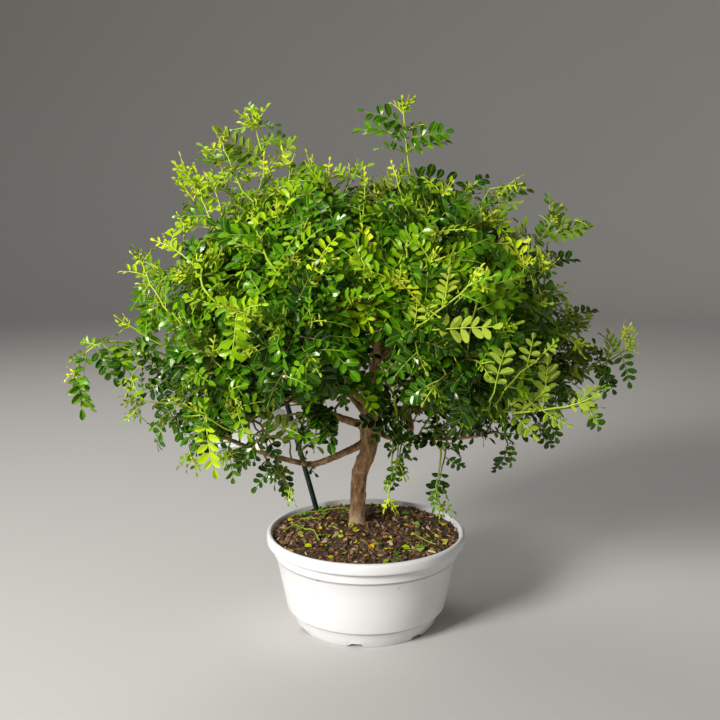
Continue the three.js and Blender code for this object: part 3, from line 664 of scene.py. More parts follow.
woodSizes = {
    "trunkSides": 28,
    "lowSides": 14,
    "limbSides": 12,
    "stepLength": 3.0,                 # between the rings of the trunk and the low limbs
    "voxel": 1.0,                      # of the skin that melts them into one piece
    "barkDepth": 0.9,                  # relief on the upper limbs
    "barkScale": 210.0,
    "lowLimbs": (1, 2, 4, 5),          # these melt into the trunk, and the others stay tubes
    "barkTones": [(0.3, 104, 72, 48), (0.45, 176, 134, 96), (0.58, 212, 172, 130), (0.74, 242, 216, 180)],
    "patch": (146, 106, 74),
    "ring": (190, 158, 124),
    "foot": (236, 208, 176),
    "moss": (140, 140, 92),
    "youngBark": (96, 92, 46),
}
limbs = [                              # the trunk comes first; points, then a radius for each or for both ends
    ([(-8, 14, 62), (-8, 14, 90), (-7.5, 12, 104), (-7, 10, 121), (-5, 8, 137), (1, 6, 153), (3, 4, 167),
      (2, 3, 181), (2, 2, 196), (5, 3, 216), (10, 6, 244), (12, 8, 275), (16, 8, 318)],
     [7.6, 7.6, 7, 7, 7.4, 7.3, 8.4, 7.8, 5.8, 4.8, 4.2, 3.4, 2.2]),
    ([(-2, 3, 164), (-19, -10, 159), (-42, -20, 152), (-54, -25, 153), (-75, -32, 160), (-96, -38, 169),
      (-120, -44, 181), (-144, -50, 196)], [3.4, 1.5]),
    ([(0, 3, 180), (-23, 5, 187), (-51, 10, 198), (-87, 12, 207), (-123, 12, 215), (-152, 6, 226)], [3.8, 1.5]),
    ([(4, 3, 214), (-20, 8, 236), (-48, 12, 262), (-78, 14, 292), (-100, 12, 322)], [3.4, 1.4]),
    ([(4, 2, 190), (21, -5, 196), (37, -10, 198), (56, -12, 200), (77, -12, 199), (95, -14, 208),
      (117, -16, 219), (142, -14, 230)], [4.2, 1.5]),
    ([(6, 3, 176), (26, -8, 170), (41, -12, 172), (62, -15, 173), (81, -15, 173), (104, -16, 176)], [2.2, 1.2]),
    ([(10, 6, 240), (34, 12, 262), (62, 18, 286), (88, 22, 312), (104, 24, 338)], [3, 1.3]),
    ([(2, 4, 188), (-16, 34, 204), (-38, 66, 222), (-62, 98, 240), (-84, 126, 256)], [3.4, 1.3]),
    ([(3, 4, 196), (24, 36, 214), (48, 68, 234), (74, 98, 250), (96, 122, 262)], [3.4, 1.3]),
    ([(2, 2, 200), (-14, -26, 218), (-34, -58, 236), (-56, -92, 250), (-74, -124, 260)], [3, 1.3]),
    ([(4, 2, 206), (22, -24, 224), (44, -56, 242), (66, -90, 256), (84, -120, 264)], [3, 1.3]),
    ([(8, 6, 232), (8, 34, 262), (4, 64, 292), (-2, 92, 320)], [2.6, 1.2]),
    ([(10, 6, 236), (10, -26, 262), (6, -56, 288), (0, -84, 312)], [2.4, 1.2]),
    ([(12, 8, 262), (-2, 4, 300), (-20, -2, 336), (-40, -6, 364)], [2.2, 1.1]),
    ([(16, 8, 300), (30, 2, 330), (46, -4, 356)], [2, 1.1]),
]
stubs = [
    ([(37, -12, 170), (39, -12, 184), (37, -10, 197)], [2.6, 2.4]),
    ([(5, 4, 171), (15, 1, 178)], [4.6, 3.2]),
    ([(80, -12, 200), (94, -16, 204), (104, -20, 203)], [4, 3.4]),
]


def smoothPath(points, girths, step):  # a curve through the points, with its radius at each new point
    points = [Vector(point) for point in points]
    if len(girths) == 2:
        girths = [mix(girths[0], girths[1], n / (len(points) - 1)) for n in range(len(points))]
    path = []
    for n in range(len(points) - 1):
        before, a = points[max(n - 1, 0)], points[n]
        b, after = points[n + 1], points[min(n + 2, len(points) - 1)]
        parts = max(1, round((b - a).length / step))
        for part in range(parts):
            t = part / parts
            spot = 0.5 * (2 * a + (b - before) * t + (2 * before - 5 * a + 4 * b - after) * t * t
                          + (3 * a - before - 3 * b + after) * t ** 3)
            path.append((spot, mix(girths[n], girths[n + 1], t)))
    path.append((points[-1], girths[-1]))
    return path


def sweepTree():                       # a tube along each line, as thick as its girth, with bark relief
    tree, graph, ends = newTree("sweep_wood", {
        "Sides": "Int", "Bark depth": "Float", "Bark scale": "Float", "Material": "Material"})
    tube = graph.swept(ends["Geometry"], ends["Sides"])
    spot = graph.add("GeometryNodeInputPosition")
    long = graph.add("ShaderNodeVectorMath", {"operation": "MULTIPLY"}, {0: spot, 1: (1, 1, 0.3)})
    relief = graph.noise(long, ends["Bark scale"], 3) - 0.5
    outward = graph.add("GeometryNodeInputNormal")
    push = graph.add("ShaderNodeVectorMath", {"operation": "SCALE"},
                     {0: outward, "Scale": relief * ends["Bark depth"]})
    bark = graph.add("GeometryNodeSetPosition", None, {"Geometry": tube, "Offset": push})
    bark = graph.add("GeometryNodeSetShadeSmooth", None, {"Geometry": bark})
    endTree(graph, bark, {"Material": ends["Material"]})
    return tree


def linesMesh(name, paths):            # open lines that carry their half thickness
    points, edges, girths = [], [], []
    for path in paths:
        first = len(points)
        for spot, girth in path:
            points.append(spot * mm)
            girths.append(girth * mm)
        edges += [(first + n, first + n + 1) for n in range(len(path) - 1)]
    mesh = meshOf(name, points, [], edges)
    withNumbers(mesh, "girth", girths)
    return mesh


def barkMaterial():
    sizes = woodSizes
    made, graph = newMaterial("bark_brown")
    spot = graph.place()
    height = graph.axis(spot, 2)
    long = graph.noise(graph.place((1, 1, 0.32)), 330, 5, 0.65)
    fine = graph.noise(spot, 1500, 3, 0.6)
    patch = graph.noise(spot, 55, 3)
    rings = graph.noise(graph.place((0.25, 0.25, 1)), 620, 2)
    low = 1 - graph.smooth(height + patch * 0.03, 0.094, 0.124)
    colour = graph.ramp(long, sizes["barkTones"])
    colour = graph.stain(colour, graph.smooth(patch, 0.5, 0.7) * 0.5, sizes["patch"])
    colour = graph.stain(colour, graph.smooth(rings, 0.6, 0.75) * 0.35, sizes["ring"])
    colour = graph.stain(colour, low * 0.6, sizes["foot"])
    colour = graph.stain(colour, low * graph.smooth(patch, 0.42, 0.6) * 0.4, sizes["moss"])
    colour = graph.stain(colour, graph.smooth(height, 0.24, 0.40) * 0.45, sizes["youngBark"])
    graph.surface(Base_Color=colour, Roughness=graph.clamp(0.72 + long * 0.2), Specular_IOR_Level=0.3,
                  Normal=graph.bump(long * 1.4 + fine * 0.35 + rings * 0.3, 0.0015))
    return made


def swollen(points, girths, step, extra, fade):  # a limb's path, thicker where it leaves what carries it
    path = smoothPath(points, girths, step)
    return [(spot, girth * (1 + extra * math.exp(-n / fade))) for n, (spot, girth) in enumerate(path)]


def makeWood():
    bark, tree = barkMaterial(), sweepTree()
    step, low = woodSizes["stepLength"], woodSizes["lowLimbs"]

    def sweep(name, paths, sides, depth=0.0, scale=1.0):
        lines = shown(name + "_lines", linesMesh(name + "_lines", paths))
        return grown(lines, tree, {"Sides": sides, "Bark depth": depth, "Bark scale": scale, "Material": bark}, name)
    points, girths = limbs[0]
    flared = [girths[0] * 1.35] + girths[1:]
    stem = sweep("trunk_stem", [smoothPath(points, flared, step)], woodSizes["trunkSides"])
    lower = [swollen(*limb, step, 0.35, 2.5) for limb in [limbs[n] for n in low] + stubs]
    branches = sweep("low_limbs", lower, woodSizes["lowSides"])
    bpy.ops.object.select_all(action="DESELECT")
    for piece in (stem, branches):
        piece.select_set(True)
    bpy.context.view_layer.objects.active = stem
    bpy.ops.object.join()
    melt = stem.modifiers.new("melt", "REMESH")
    melt.mode = "VOXEL"
    melt.voxel_size = woodSizes["voxel"] * mm
    soften = stem.modifiers.new("soften", "SMOOTH")
    soften.iterations = 2
    soften.factor = 0.5
    mesh = plainMesh(stem)
    bpy.data.objects.remove(stem)
    for point in mesh.vertices:        # ridges that run along the bark, and a few knobs
        spot = point.co / mm
        ridge = noise.noise(Vector((spot.x, spot.y, spot.z * 0.3)) * 0.42) * 0.5
        knob = max(0.0, noise.noise(spot * 0.13) - 0.28) * 2.4
        thin = limited((abs(point.co.x) - 0.04) / 0.05)
        point.co += point.normal * (ridge + knob) * mm * mix(1.0, 0.35, thin)
    mesh.name = "trunk_and_low_limbs"
    trunk = shown("trunk_and_low_limbs", mesh, bark)
    mesh.shade_smooth()
    ready(trunk, "bark", "trunk")
    upper = [swollen(*limb, 5.0, 0.3, 1.6) for n, limb in enumerate(limbs) if n not in (0, *low)]
    crown = sweep("upper_limbs", upper, woodSizes["limbSides"], woodSizes["barkDepth"] * mm, woodSizes["barkScale"])
    ready(crown, "bark")


makeWood()
print("trunk and limbs are done")


stakeSizes = {
    "foot": (-39, 60, 50),
    "top": (-94, 60, 259),
    "width": 5.0,
    "labelLevel": 164.0,               # the height of its middle
    "labelWidth": 68.0,
    "labelHeight": 37.0,
    "labelThickness": 1.2,
    "sleeveRadius": 4.9,
    "sleeveBore": 3.2,
    "sleeveHeight": 16.0,
    "stakeTones": [(0.3, 10, 30, 24), (0.55, 18, 48, 38), (0.75, 44, 78, 62)],
    "labelTones": [(0.3, 246, 245, 246), (0.6, 236, 234, 234), (0.8, 212, 208, 202)],
    "labelDust": (176, 168, 152),
}


def makeStake():
    foot, top = Vector(stakeSizes["foot"]), Vector(stakeSizes["top"])
    along = (top - foot).normalized()
    across = Vector((along.z, 0, -along.x))
    front = Vector((0, -1, 0))
    half = stakeSizes["width"] / 2
    right = [(0.45, -2.2), (0.85, -1.9), (1.15, -0.75), (half - 0.35, -0.55), (half, -0.1), (half - 0.2, 0.6),
             (half - 0.8, 0.8)]        # a ribbed section
    left = [(-x, y) for x, y in reversed(right)]
    section = left[2:] + right + left[:2]
    length = (top - foot).length
    stations = [(0, 0.25), (9, 0.8), (16, 1.0)] + [(16 + n * (length - 18) / 24, 1.0) for n in range(1, 25)]
    stations += [(length - 0.6, 0.9), (length, 0.6)]
    rows = [[(foot + along * place + across * x * size + front * -y * size) * mm for x, y in section]
            for place, size in stations]
    made, graph = newMaterial("stake_green")
    spot = graph.place()
    wear = graph.noise(spot, 240, 4)
    long = graph.noise(graph.place((1, 1, 0.08)), 900, 2)
    graph.surface(Base_Color=graph.ramp(wear, stakeSizes["stakeTones"]), Roughness=graph.clamp(0.30 + wear * 0.25),
                  Specular_IOR_Level=0.5, Normal=graph.bump(long, 0.0002, 0.6))
    stake = shown("green_stake", fixedNormals(meshOf("green_stake", *lofted(rows, capped=True))), made, 35)
    ready(stake, "stake", "stake")


def makeLabel():
    sizes = stakeSizes
    foot, top = Vector(sizes["foot"]), Vector(sizes["top"])
    along = (top - foot).normalized()
    share = (sizes["labelLevel"] - foot.z) / (top.z - foot.z)
    centre = foot.lerp(top, share)
    high, bore, wide = sizes["sleeveHeight"], sizes["sleeveBore"], sizes["sleeveRadius"]
    sleeve = [(bore, 0.0), (wide - 0.4, 0.0), (wide, 0.4), (wide, high - 0.4), (wide - 0.4, high), (bore, high)]
    turn = up.rotation_difference(along).to_matrix()
    points, faces = lofted([[(centre + turn @ spot) * mm for spot in circle(radius, level - high / 2, 40)]
                            for radius, level in sleeve], closed=True)
    # the card, with round corners, a raised edge and a slight bow
    width, height, thick = sizes["labelWidth"], sizes["labelHeight"], sizes["labelThickness"]
    middle = Vector((centre.x - wide + 1 - width / 2 - 4, centre.y, centre.z))
    outline = []
    for sx, sz, start in ((1, -1, -90), (1, 1, 0), (-1, 1, 90), (-1, -1, 180)):
        for k in range(7):
            angle = math.radians(start + k * 15)
            outline.append((sx * (width / 2 - 3) + 3 * math.cos(angle), sz * (height / 2 - 3) + 3 * math.sin(angle)))
    layers = [(0.0, -0.5), (0.985, -0.5), (1.0, -0.36), (1.0, 0.36), (0.985, 0.5), (0.94, 0.5), (0.925, 0.28),
              (0.0, 0.28)]             # size of the outline, and depth
    card = []
    for size, depth in layers:
        card.append([])
        for x, z in outline if size else [(0, 0)]:
            bow = 0.25 * math.cos(x / width * math.pi)
            card[-1].append((middle + Vector((x * size, -depth * thick + 0.1 - bow * 0.3, z * size))) * mm)
    cardPoints, cardFaces = lofted(card, first=len(points))
    points += cardPoints
    faces += cardFaces
    # the tongue that joins the card to the sleeve
    tongue = Vector((centre.x - wide - 3.4, centre.y, centre.z))
    faces += [tuple(len(points) + n for n in face) for face in boxFaces]
    points += [(tongue + Vector((x, y * thick * 0.9, z * high / 4))) * mm
               for x in (-4, 4) for y in (-0.5, 0.5) for z in (-1, 1)]
    made, graph = newMaterial("label_white")
    spot = graph.place()
    smudge = graph.noise(spot, 60, 4)
    dust = graph.noise(spot, 420, 3)
    colour = graph.ramp(smudge, sizes["labelTones"])
    colour = graph.stain(colour, graph.smooth(dust, 0.62, 0.75) * 0.3, sizes["labelDust"])
    graph.surface(Base_Color=colour, Roughness=graph.clamp(0.38 + smudge * 0.25), Specular_IOR_Level=0.5,
                  Normal=graph.bump(dust, 0.0001, 0.5))
    plate = shown("blank_label_plate", fixedNormals(meshOf("blank_label_plate", points, faces)), made, 35)
    ready(plate, "label", "label_plate")


makeStake()
makeLabel()
print("stake and label are done")


crownSizes = {
    "centre": (0, -5, 240),
    "shell": (148, 136, 122),          # half sizes of the dome that the dense shoots are spread over
    "shellShoots": 20,
    "lowestCosine": -0.1,
    "shellTurn": 40.0,
    "goldenTurn": 137.508,             # degrees from one leaf or shoot to the next
    "envelope": (203, 168, 178),       # half sizes of the crown's main mass
    "underside": 82.0,                 # how far it reaches below its middle
    "sectors": 12,                     # the pieces that the crown is divided into
    "sideShoots": 10,                  # round each dense shoot
    "sideLength": (34, 62),
    "innerShoots": 10,                 # along each limb
    "lowest": 150,
    "stemSides": 5,
    "seed": 7,
}
# leaves, their shortest and longest, where they start, the stem's half thickness at its ends, and new tip leaves
shootKinds = {
    "dense": (6, (34, 52), 0.4, (1.5, 0.9), False),
    "side": (6, (34, 58), 0.12, (1.05, 0.6), True),
    "outer": (6, (22, 38), 0.3, (1.25, 0.65), True),
    "inner": (4, (26, 40), 0.3, (0.9, 0.6), False),
}
leafSizes = {
    "pairLengths": (20, 33, 50, 68),   # a leaf has two pairs, and one more for each length that it passes
    "endLeaflet": {2: 0.34, 3: 0.3, 4: 0.262, 5: 0.225, 6: 0.17},  # its share of the leaf, by number of pairs
    "longestLeaflet": 12.5,
    "longestLeaf": 78,
    "width": (0.64, 0.44),             # of a leaflet for its length, old and young
    "spread": (74, 50),                # degrees off the rachis, at its base and its tip
    "missing": 0.04,                   # the share of leaflets that have dropped
    "petiole": 0.2,
    "arch": 0.30,
    "loose": 0.42,
    "stalk": (0.62, 0.58, 0.36),       # half thickness at the stem, past it and at the tip
    "room": 1.8,                       # mm kept free inside the solid model's box
}
youthSizes = {                         # 0 is an old dark leaf and 1 a new pale one
    "least": 0.02,
    "byHeight": 0.38,                  # more from the low level up, over so many mm
    "lowLevel": 205,
    "levels": 190,
    "byWidth": 0.14,                   # more from the right edge to the left, over so many mm
    "rightEdge": 40,
    "width": 260,
    "uneven": 0.13,
}
lowerShoots = [(-97, -62, 199), (-44, -92, 214)]  # two more dense shoots, below the dome
# where a shoot starts, bends and ends, then its listed leaves: place along it, direction and length
outerShoots = [
    ((-150, 4, 226), (-219, -66, 296), (-242, -54, 240),
     [(0.62, 0.55, 0, -0.75, 44), (0.9, -0.8, -0.05, -0.3, 26), (1, 0.1, 0, -1, 42)]),
    ((-90, 13, 306), (-150, -10, 330), (-184, -28, 308), [(0.7, -0.9, -0.2, 0.1, 40), (1, -0.15, -0.1, -1, 48)]),
    ((-84, 14, 300), (-130, 4, 316), (-178, -4, 320), [(0.6, -0.6, 0.5, 0.5, 40), (1, -0.8, 0, 0.5, 30)]),
    ((-100, 12, 318), (-132, 2, 348), (-150, -4, 384),
     [(0.6, -0.9, 0, 0.2, 46), (0.8, 0.4, -0.7, 0.4, 40), (1, -0.5, 0, 0.8, 30)]),
    ((-40, -6, 360), (-88, -4, 392), (-94, -2, 442),
     [(0.5, 0.9, 0, 0.3, 46), (0.66, -0.9, 0, 0.3, 46), (0.84, 0.75, 0.1, 0.45, 34), (1, -0.35, 0, 1, 28)]),
    ((-96, 12, 314), (-116, 10, 372), (-126, 6, 412),
     [(0.6, 0.3, 0.7, 0.5, 44), (0.8, -0.9, 0.2, 0.1, 42), (1, -0.5, 0, 0.8, 28)]),
    ((44, -4, 352), (38, -4, 394), (31, -8, 456),
     [(0.7, 0.9, 0, 0.42, 48), (0.8, -0.92, 0, 0.42, 50), (1, -0.2, 0, 1, 14), (0.97, 0.5, 0, 0.8, 17)]),
    ((46, -4, 356), (58, 0, 378), (84, 4, 386), [(1, 0.7, 0, 0.6, 34)]),
    ((104, 24, 336), (98, 14, 372), (112, 4, 384), [(1, 0.9, 0, 0.3, 36)]),
    ((100, 24, 330), (146, 14, 320), (161, 4, 362),
     [(0.66, 0.5, 0.1, 0.8, 36), (0.84, 0.95, 0, 0.35, 44), (1, -0.1, 0, 1, 28)]),
    ((98, 23, 326), (120, 4, 336), (150, 0, 322), [(1, 0.9, 0, 0.5, 42)]),
    ((140, -14, 229), (170, 4, 268), (176, 8, 276), [(0.8, 0.1, 0.8, 0.5, 40), (1, 0.9, 0, 0.5, 36)]),
    ((142, -14, 230), (196, 40, 208), (248, 70, 238),
     [(0.5, 0.3, 0, 0.95, 34), (0.75, 0.4, -0.2, -0.9, 34), (0.9, 0.5, 0, -0.8, 46), (1, 0.1, 0, 1, 32)]),
    ((100, -14, 210), (136, -62, 202), (178, -76, 217),
     [(0.4, 0, -0.1, 1, 52), (0.72, 0.05, -0.1, 1, 46), (0.6, 0.45, -0.4, -0.8, 34), (1, 0.5, 0, -0.85, 32)]),
    ((40, -50, 239), (16, -96, 252), (74, -122, 312),
     [(0.6, 0.9, -0.3, 0.3, 56), (0.8, -0.5, -0.6, 0.5, 44), (1, 0.8, -0.2, 0.3, 46)]),
    ((-64, -105, 254), (-84, -134, 306), (-93, -158, 303), [(0.6, -0.8, -0.1, 0.4, 42), (1, -0.1, -0.1, -1, 46)]),
    ((-78, -32, 161), (-78, -48, 164), (-74, -50, 158), [(0.7, -0.6, -0.5, -0.5, 34), (1, 0.45, -0.2, -0.8, 34)]),
    ((-110, -42, 176), (-116, -62, 186), (-114, -68, 176), [(0.6, -0.7, -0.4, 0.1, 40), (1, 0.2, -0.2, -1, 32)]),
    ((-142, -49, 195), (-158, -60, 206), (-166, -62, 200), [(0.6, 0.3, -0.8, -0.4, 38), (1, -0.6, 0, -0.8, 36)]),
    ((30, -9, 197), (28, -50, 214), (26, -56, 164),
     [(0.6, 0.5, -0.5, -0.5, 30), (0.8, 0.7, 0, -0.7, 24), (1, -0.1, 0, -1, 36)]),
    ((66, -15, 173), (74, -26, 178), (66, -28, 150), [(0.8, 0.7, -0.1, -0.6, 26), (1, -0.1, 0, -1, 38)]),
    ((102, -16, 176), (124, 2, 182), (129, 8, 160), [(0.5, 0.5, -0.7, 0.2, 38), (1, -0.2, 0, -1, 36)]),
    ((120, -16, 220), (146, 16, 206), (156, 20, 178), [(0.4, 0.6, -0.6, 0.3, 40), (1, 0.4, 0, -0.9, 34)]),
]
# seen in the picture: points as pixel across, pixel down and depth in mm, then the leaves, their lengths,
# how young they are, and 1 where no small leaves stand at the tip
pictureShoots = [
    ([(397, 418, -30), (394, 385, -80), (397, 358, -116), (412, 331, -136), (444, 308, -146), (474, 281, -148)],
     8, (22, 34), 0.42, 0),
    ([(478, 410, -60), (487, 409, -92), (520, 412, -112), (565, 406, -122), (592, 398, -126)], 2, (26, 34), 0.4, 1),
    ([(486, 408, -80), (508, 386, -128), (526, 368, -134), (542, 356, -136)], 1, (24, 30), 0.4, 1),
    ([(486, 408, -92), (490, 400, -130), (494, 392, -142)], 0, (20, 26), 0.4, 1),
    ([(396, 400, -20), (393, 440, -46), (391, 470, -50), (389, 500, -50)], 9, (17, 25), 0.55, 0),
    ([(404, 405, -20), (402, 440, -40), (400, 466, -44)], 7, (17, 26), 0.35, 0),
    ([(436, 425, -16), (441, 455, -30), (436, 485, -34), (440, 506, -36)], 11, (21, 32), 0.22, 0),
    ([(336, 408, -30), (331, 428, -66), (300, 438, -84), (262, 436, -96), (224, 428, -104), (200, 414, -104)],
     6, (26, 38), 0.2, 0),
    ([(262, 430, -60), (262, 450, -70), (276, 470, -74), (292, 490, -74)], 7, (22, 28), 0.02, 0),
    ([(560, 370, 0), (583, 372, -6), (600, 361, -10), (620, 350, -14), (628, 346, -14)], 6, (20, 28), 0.4, 0),
    ([(540, 262, 20), (548, 243, 10), (560, 229, 4), (576, 219, 0)], 5, (24, 34), 0.3, 1),
    ([(472, 235, 10), (480, 208, 0), (490, 190, -4), (508, 187, -6)], 5, (16, 26), 0.35, 0),
    ([(300, 250, -60), (262, 210, -32), (243, 190, -26), (232, 168, -22), (222, 142, -18)], 14, (28, 46), 0.5, 0),
    ([(250, 262, -60), (215, 225, -30), (202, 200, -24), (194, 183, -22), (184, 172, -20)], 12, (20, 36), 0.66, 0),
    ([(330, 300, -96), (312, 268, -108), (316, 236, -86), (322, 202, -44), (329, 174, -24)], 13, (28, 44), 0.4, 0),
    ([(300, 300, -100), (276, 272, -116), (262, 244, -92), (252, 216, -54)], 12, (28, 44), 0.4, 0),
    ([(352, 300, -110), (356, 262, -102), (362, 222, -62), (366, 184, -26)], 13, (28, 44), 0.4, 0),
    ([(400, 290, -110), (408, 250, -114), (404, 212, -62), (396, 176, -34)], 12, (28, 44), 0.36, 0),
    ([(440, 300, -110), (448, 262, -108), (462, 236, -70), (470, 212, -28)], 12, (28, 44), 0.28, 0),
    ([(230, 320, -100), (206, 290, -108), (190, 262, -60), (168, 246, -28)], 13, (28, 44), 0.5, 0),
    ([(220, 350, -90), (186, 330, -84), (160, 300, -50), (140, 262, -30)], 14, (26, 40), 0.45, 0),
    ([(205, 390, -50), (170, 376, -66), (140, 366, -66), (131, 380, -66)], 7, (22, 32), 0.2, 0),
    ([(215, 412, -60), (180, 405, -74), (146, 402, -76), (134, 412, -76)], 7, (22, 32), 0.12, 0),
    ([(190, 360, -50), (160, 345, -56), (130, 326, -54)], 6, (22, 32), 0.3, 0),
    ([(232, 438, -84), (206, 440, -90), (190, 446, -90), (192, 458, -90)], 5, (20, 28), 0.2, 0),
    ([(180, 385, -20), (150, 388, -24), (132, 396, -24)], 6, (22, 32), 0.15, 0),
    ([(262, 436, -70), (252, 444, -76), (240, 452, -78), (228, 456, -78)], 6, (18, 27), 0.1, 0),
    ([(196, 372, -40), (166, 362, -56), (140, 352, -58)], 7, (26, 36), 0.08, 0),
    ([(270, 262, -50), (262, 226, -36), (258, 200, -18), (264, 170, -14)], 14, (30, 46), 0.45, 0),
    ([(240, 262, -40), (228, 232, -28), (220, 206, -26), (212, 186, -22)], 14, (30, 46), 0.5, 0),
    ([(300, 240, -16), (290, 206, -30), (290, 166, -30)], 13, (30, 46), 0.4, 0),
    ([(300, 236, -60), (318, 200, -26), (310, 168, -20)], 11, (30, 44), 0.35, 0),
    ([(340, 236, -50), (344, 206, -20), (350, 174, -8)], 11, (28, 42), 0.35, 0),
    ([(250, 240, -50), (238, 206, -14), (244, 180, -4)], 11, (30, 44), 0.4, 0),
    ([(560, 372, 20), (590, 366, 0), (612, 352, -10), (622, 336, -12)], 10, (20, 30), 0.45, 0),
    ([(430, 392, -30), (416, 386, -44), (408, 394, -48)], 6, (26, 38), 0.05, 0),
    ([(380, 380, -50), (396, 386, -64), (410, 384, -66)], 6, (26, 38), 0.05, 0),
    ([(200, 290, -46), (186, 252, -20), (184, 222, -14)], 12, (28, 42), 0.5, 0),
]
pictureLeaves = [                      # from pixel to pixel, depth, age, and 1 where its underside shows
    (413, 331, 508, 322, -136, 0.62, 1), (448, 304, 450, 262, -146, 0.75, 1), (416, 336, 424, 294, -132, 0.7, 1),
    (468, 286, 500, 268, -146, 0.5, 0), (462, 290, 486, 305, -146, 0.4, 0), (548, 408, 552, 350, -120, 0.55, 1),
    (494, 392, 505, 330, -142, 0.5, 1), (530, 366, 536, 328, -134, 0.5, 1), (540, 358, 562, 338, -136, 0.45, 1),
    (500, 411, 532, 390, -104, 0.6, 1), (583, 400, 594, 428, -124, 0.5, 1), (560, 406, 604, 397, -122, 0.62, 1),
    (520, 412, 556, 384, -116, 0.55, 1), (576, 404, 600, 380, -124, 0.5, 1), (540, 410, 572, 432, -120, 0.5, 1),
    (546, 409, 512, 393, -120, 0.5, 1), (514, 412, 542, 440, -110, 0.5, 1), (628, 346, 634, 366, -14, 0.5, 0),
    (610, 356, 596, 386, -12, 0.3, 0), (617, 352, 606, 332, -12, 0.6, 0), (624, 348, 632, 330, -12, 0.6, 0),
    (604, 362, 612, 398, -10, 0.25, 0), (620, 350, 637, 390, -12, 0.35, 0), (596, 364, 598, 340, -10, 0.3, 0),
    (251, 124, 225, 127, -4, 0.7, 0), (247, 127, 279, 124, -4, 0.3, 0), (262, 164, 209, 133, -6, 0.4, 1),
    (270, 166, 298, 132, -6, 0.4, 1), (248, 104, 235, 108, -2, 0.9, 0), (250, 108, 266, 101, -2, 0.85, 0),
    (222, 164, 197, 155, -22, 0.45, 0), (228, 168, 212, 186, -22, 0.75, 0), (232, 172, 250, 176, -22, 0.4, 0),
    (194, 182, 176, 163, -22, 0.8, 0), (200, 196, 199, 166, -22, 0.85, 0), (205, 218, 170, 216, -22, 0.5, 0),
    (402, 122, 356, 103, -2, 0.25, 0), (403, 126, 392, 146, -2, 0.3, 0), (408, 140, 458, 133, -2, 0.25, 0),
    (408, 146, 424, 139, -2, 0.3, 0), (403, 108, 415, 94, -8, 0.8, 0), (400, 104, 391, 92, -8, 0.85, 0),
    (418, 184, 468, 173, -30, 0.1, 0), (485, 205, 527, 201, -4, 0.3, 1), (487, 247, 535, 249, -100, 0.9, 1),
    (554, 235, 595, 224, 2, 0.14, 1), (556, 230, 553, 197, 2, 0.16, 1), (560, 226, 572, 206, 2, 0.2, 1),
    (545, 250, 560, 262, 6, 0.2, 1), (246, 300, 243, 358, -140, 0.85, 0), (262, 434, 231, 474, -96, 0.02, 0),
    (240, 431, 222, 400, -100, 0.2, 0), (210, 420, 207, 482, -104, 0.8, 0), (206, 418, 190, 455, -104, 0.3, 0),
    (300, 437, 252, 412, -84, 0.3, 1), (172, 376, 133, 354, -60, 0.08, 0), (168, 374, 140, 402, -60, 0.1, 0),
    (178, 404, 148, 426, -70, 0.1, 0), (188, 407, 174, 438, -72, 0.1, 0), (160, 346, 126, 342, -54, 0.15, 0),
    (256, 440, 250, 468, -74, 0.04, 0), (246, 448, 232, 470, -76, 0.12, 0), (268, 436, 282, 462, -78, 0.04, 0),
    (142, 262, 132, 246, -30, 0.7, 0), (145, 285, 128, 310, -40, 0.4, 0), (150, 292, 146, 342, -44, 0.3, 0),
    (100, 347, 116, 388, -40, 0.15, 0), (82, 350, 78, 402, -40, 0.3, 0), (120, 350, 134, 386, -44, 0.2, 0),
    (311, 464, 320, 475, -22, 0.02, 0), (306, 466, 303, 452, -22, 0.05, 0), (388, 420, 366, 444, -30, 0.1, 0),
    (376, 412, 352, 424, -30, 0.15, 0), (280, 458, 272, 476, -26, 0.02, 0), (66, 362, 88, 418, -44, 0.4, 0),
    (62, 366, 56, 384, -44, 0.4, 0),
]
crownCentre = Vector(crownSizes["centre"])
clearings = [                          # left, top, right and bottom in the picture, and how deep each gap goes
    (298, 450, 352, 524, 400), (346, 416, 384, 524, 10), (413, 452, 430, 524, 400), (337, 418, 352, 452, 400),
    (223, 430, 242, 446, 58), (264, 436, 299, 456, 58), (253, 416, 269, 430, 58), (282, 386, 296, 424, 58),
    (286, 404, 306, 428, 58), (296, 456, 318, 512, 62), (378, 424, 388, 440, 400), (440, 452, 455, 470, 400),
    (474, 452, 492, 500, 400),
]


blankPoint = {"isLeaflet": False, "spin": (0, 0, 0), "size": (1, 1, 1), "shape": 0, "age": 0.0, "tint": 0.5,
              "girth": 0.0}


class Growth:                          # the leaflets and stems of one part of the crown, as points and lines
    def __init__(self):
        self.spots, self.edges = [], []
        self.rows = {key: [] for key in blankPoint}

    def point(self, spot, **values):
        self.spots.append(spot * mm)
        for key, blank in blankPoint.items():
            self.rows[key].append(values.get(key, blank))
        return len(self.spots) - 1

    def line(self, path, age, tint):
        numbers = [self.point(spot, girth=girth * mm, age=age, tint=tint) for spot, girth in path]
        self.edges += list(zip(numbers, numbers[1:]))

    def leaflet(self, spot, along, normal, size, shape, age, tint):
        normal = (normal - along * normal.dot(along)).normalized()
        side = normal.cross(along)
        turn = Matrix((along, side, normal)).transposed().to_euler("XYZ")
        self.point(spot, isLeaflet=True, spin=tuple(turn), size=tuple(part * mm for part in size), shape=shape,
                   age=age, tint=tint)


def outwards(spot):                    # level, and away from the middle of the crown
    away = spot - crownCentre
    away.z = 0
    return away.normalized() if away.length > 1 else Vector((0, -1, 0))


def inReach(spot, margin):             # inside the solid model's box
    low, high = cadLow / mm, cadHigh / mm
    return all(low[axis] + margin < spot[axis] < high[axis] - margin for axis in range(3))


def massShare(spot):                   # 1 on the surface of the crown's main mass
    away = spot - crownCentre
    if away.z < 0:
        away.z *= crownSizes["envelope"][2] / crownSizes["underside"]
    return math.sqrt(sum((away[axis] / crownSizes["envelope"][axis]) ** 2 for axis in range(3)))


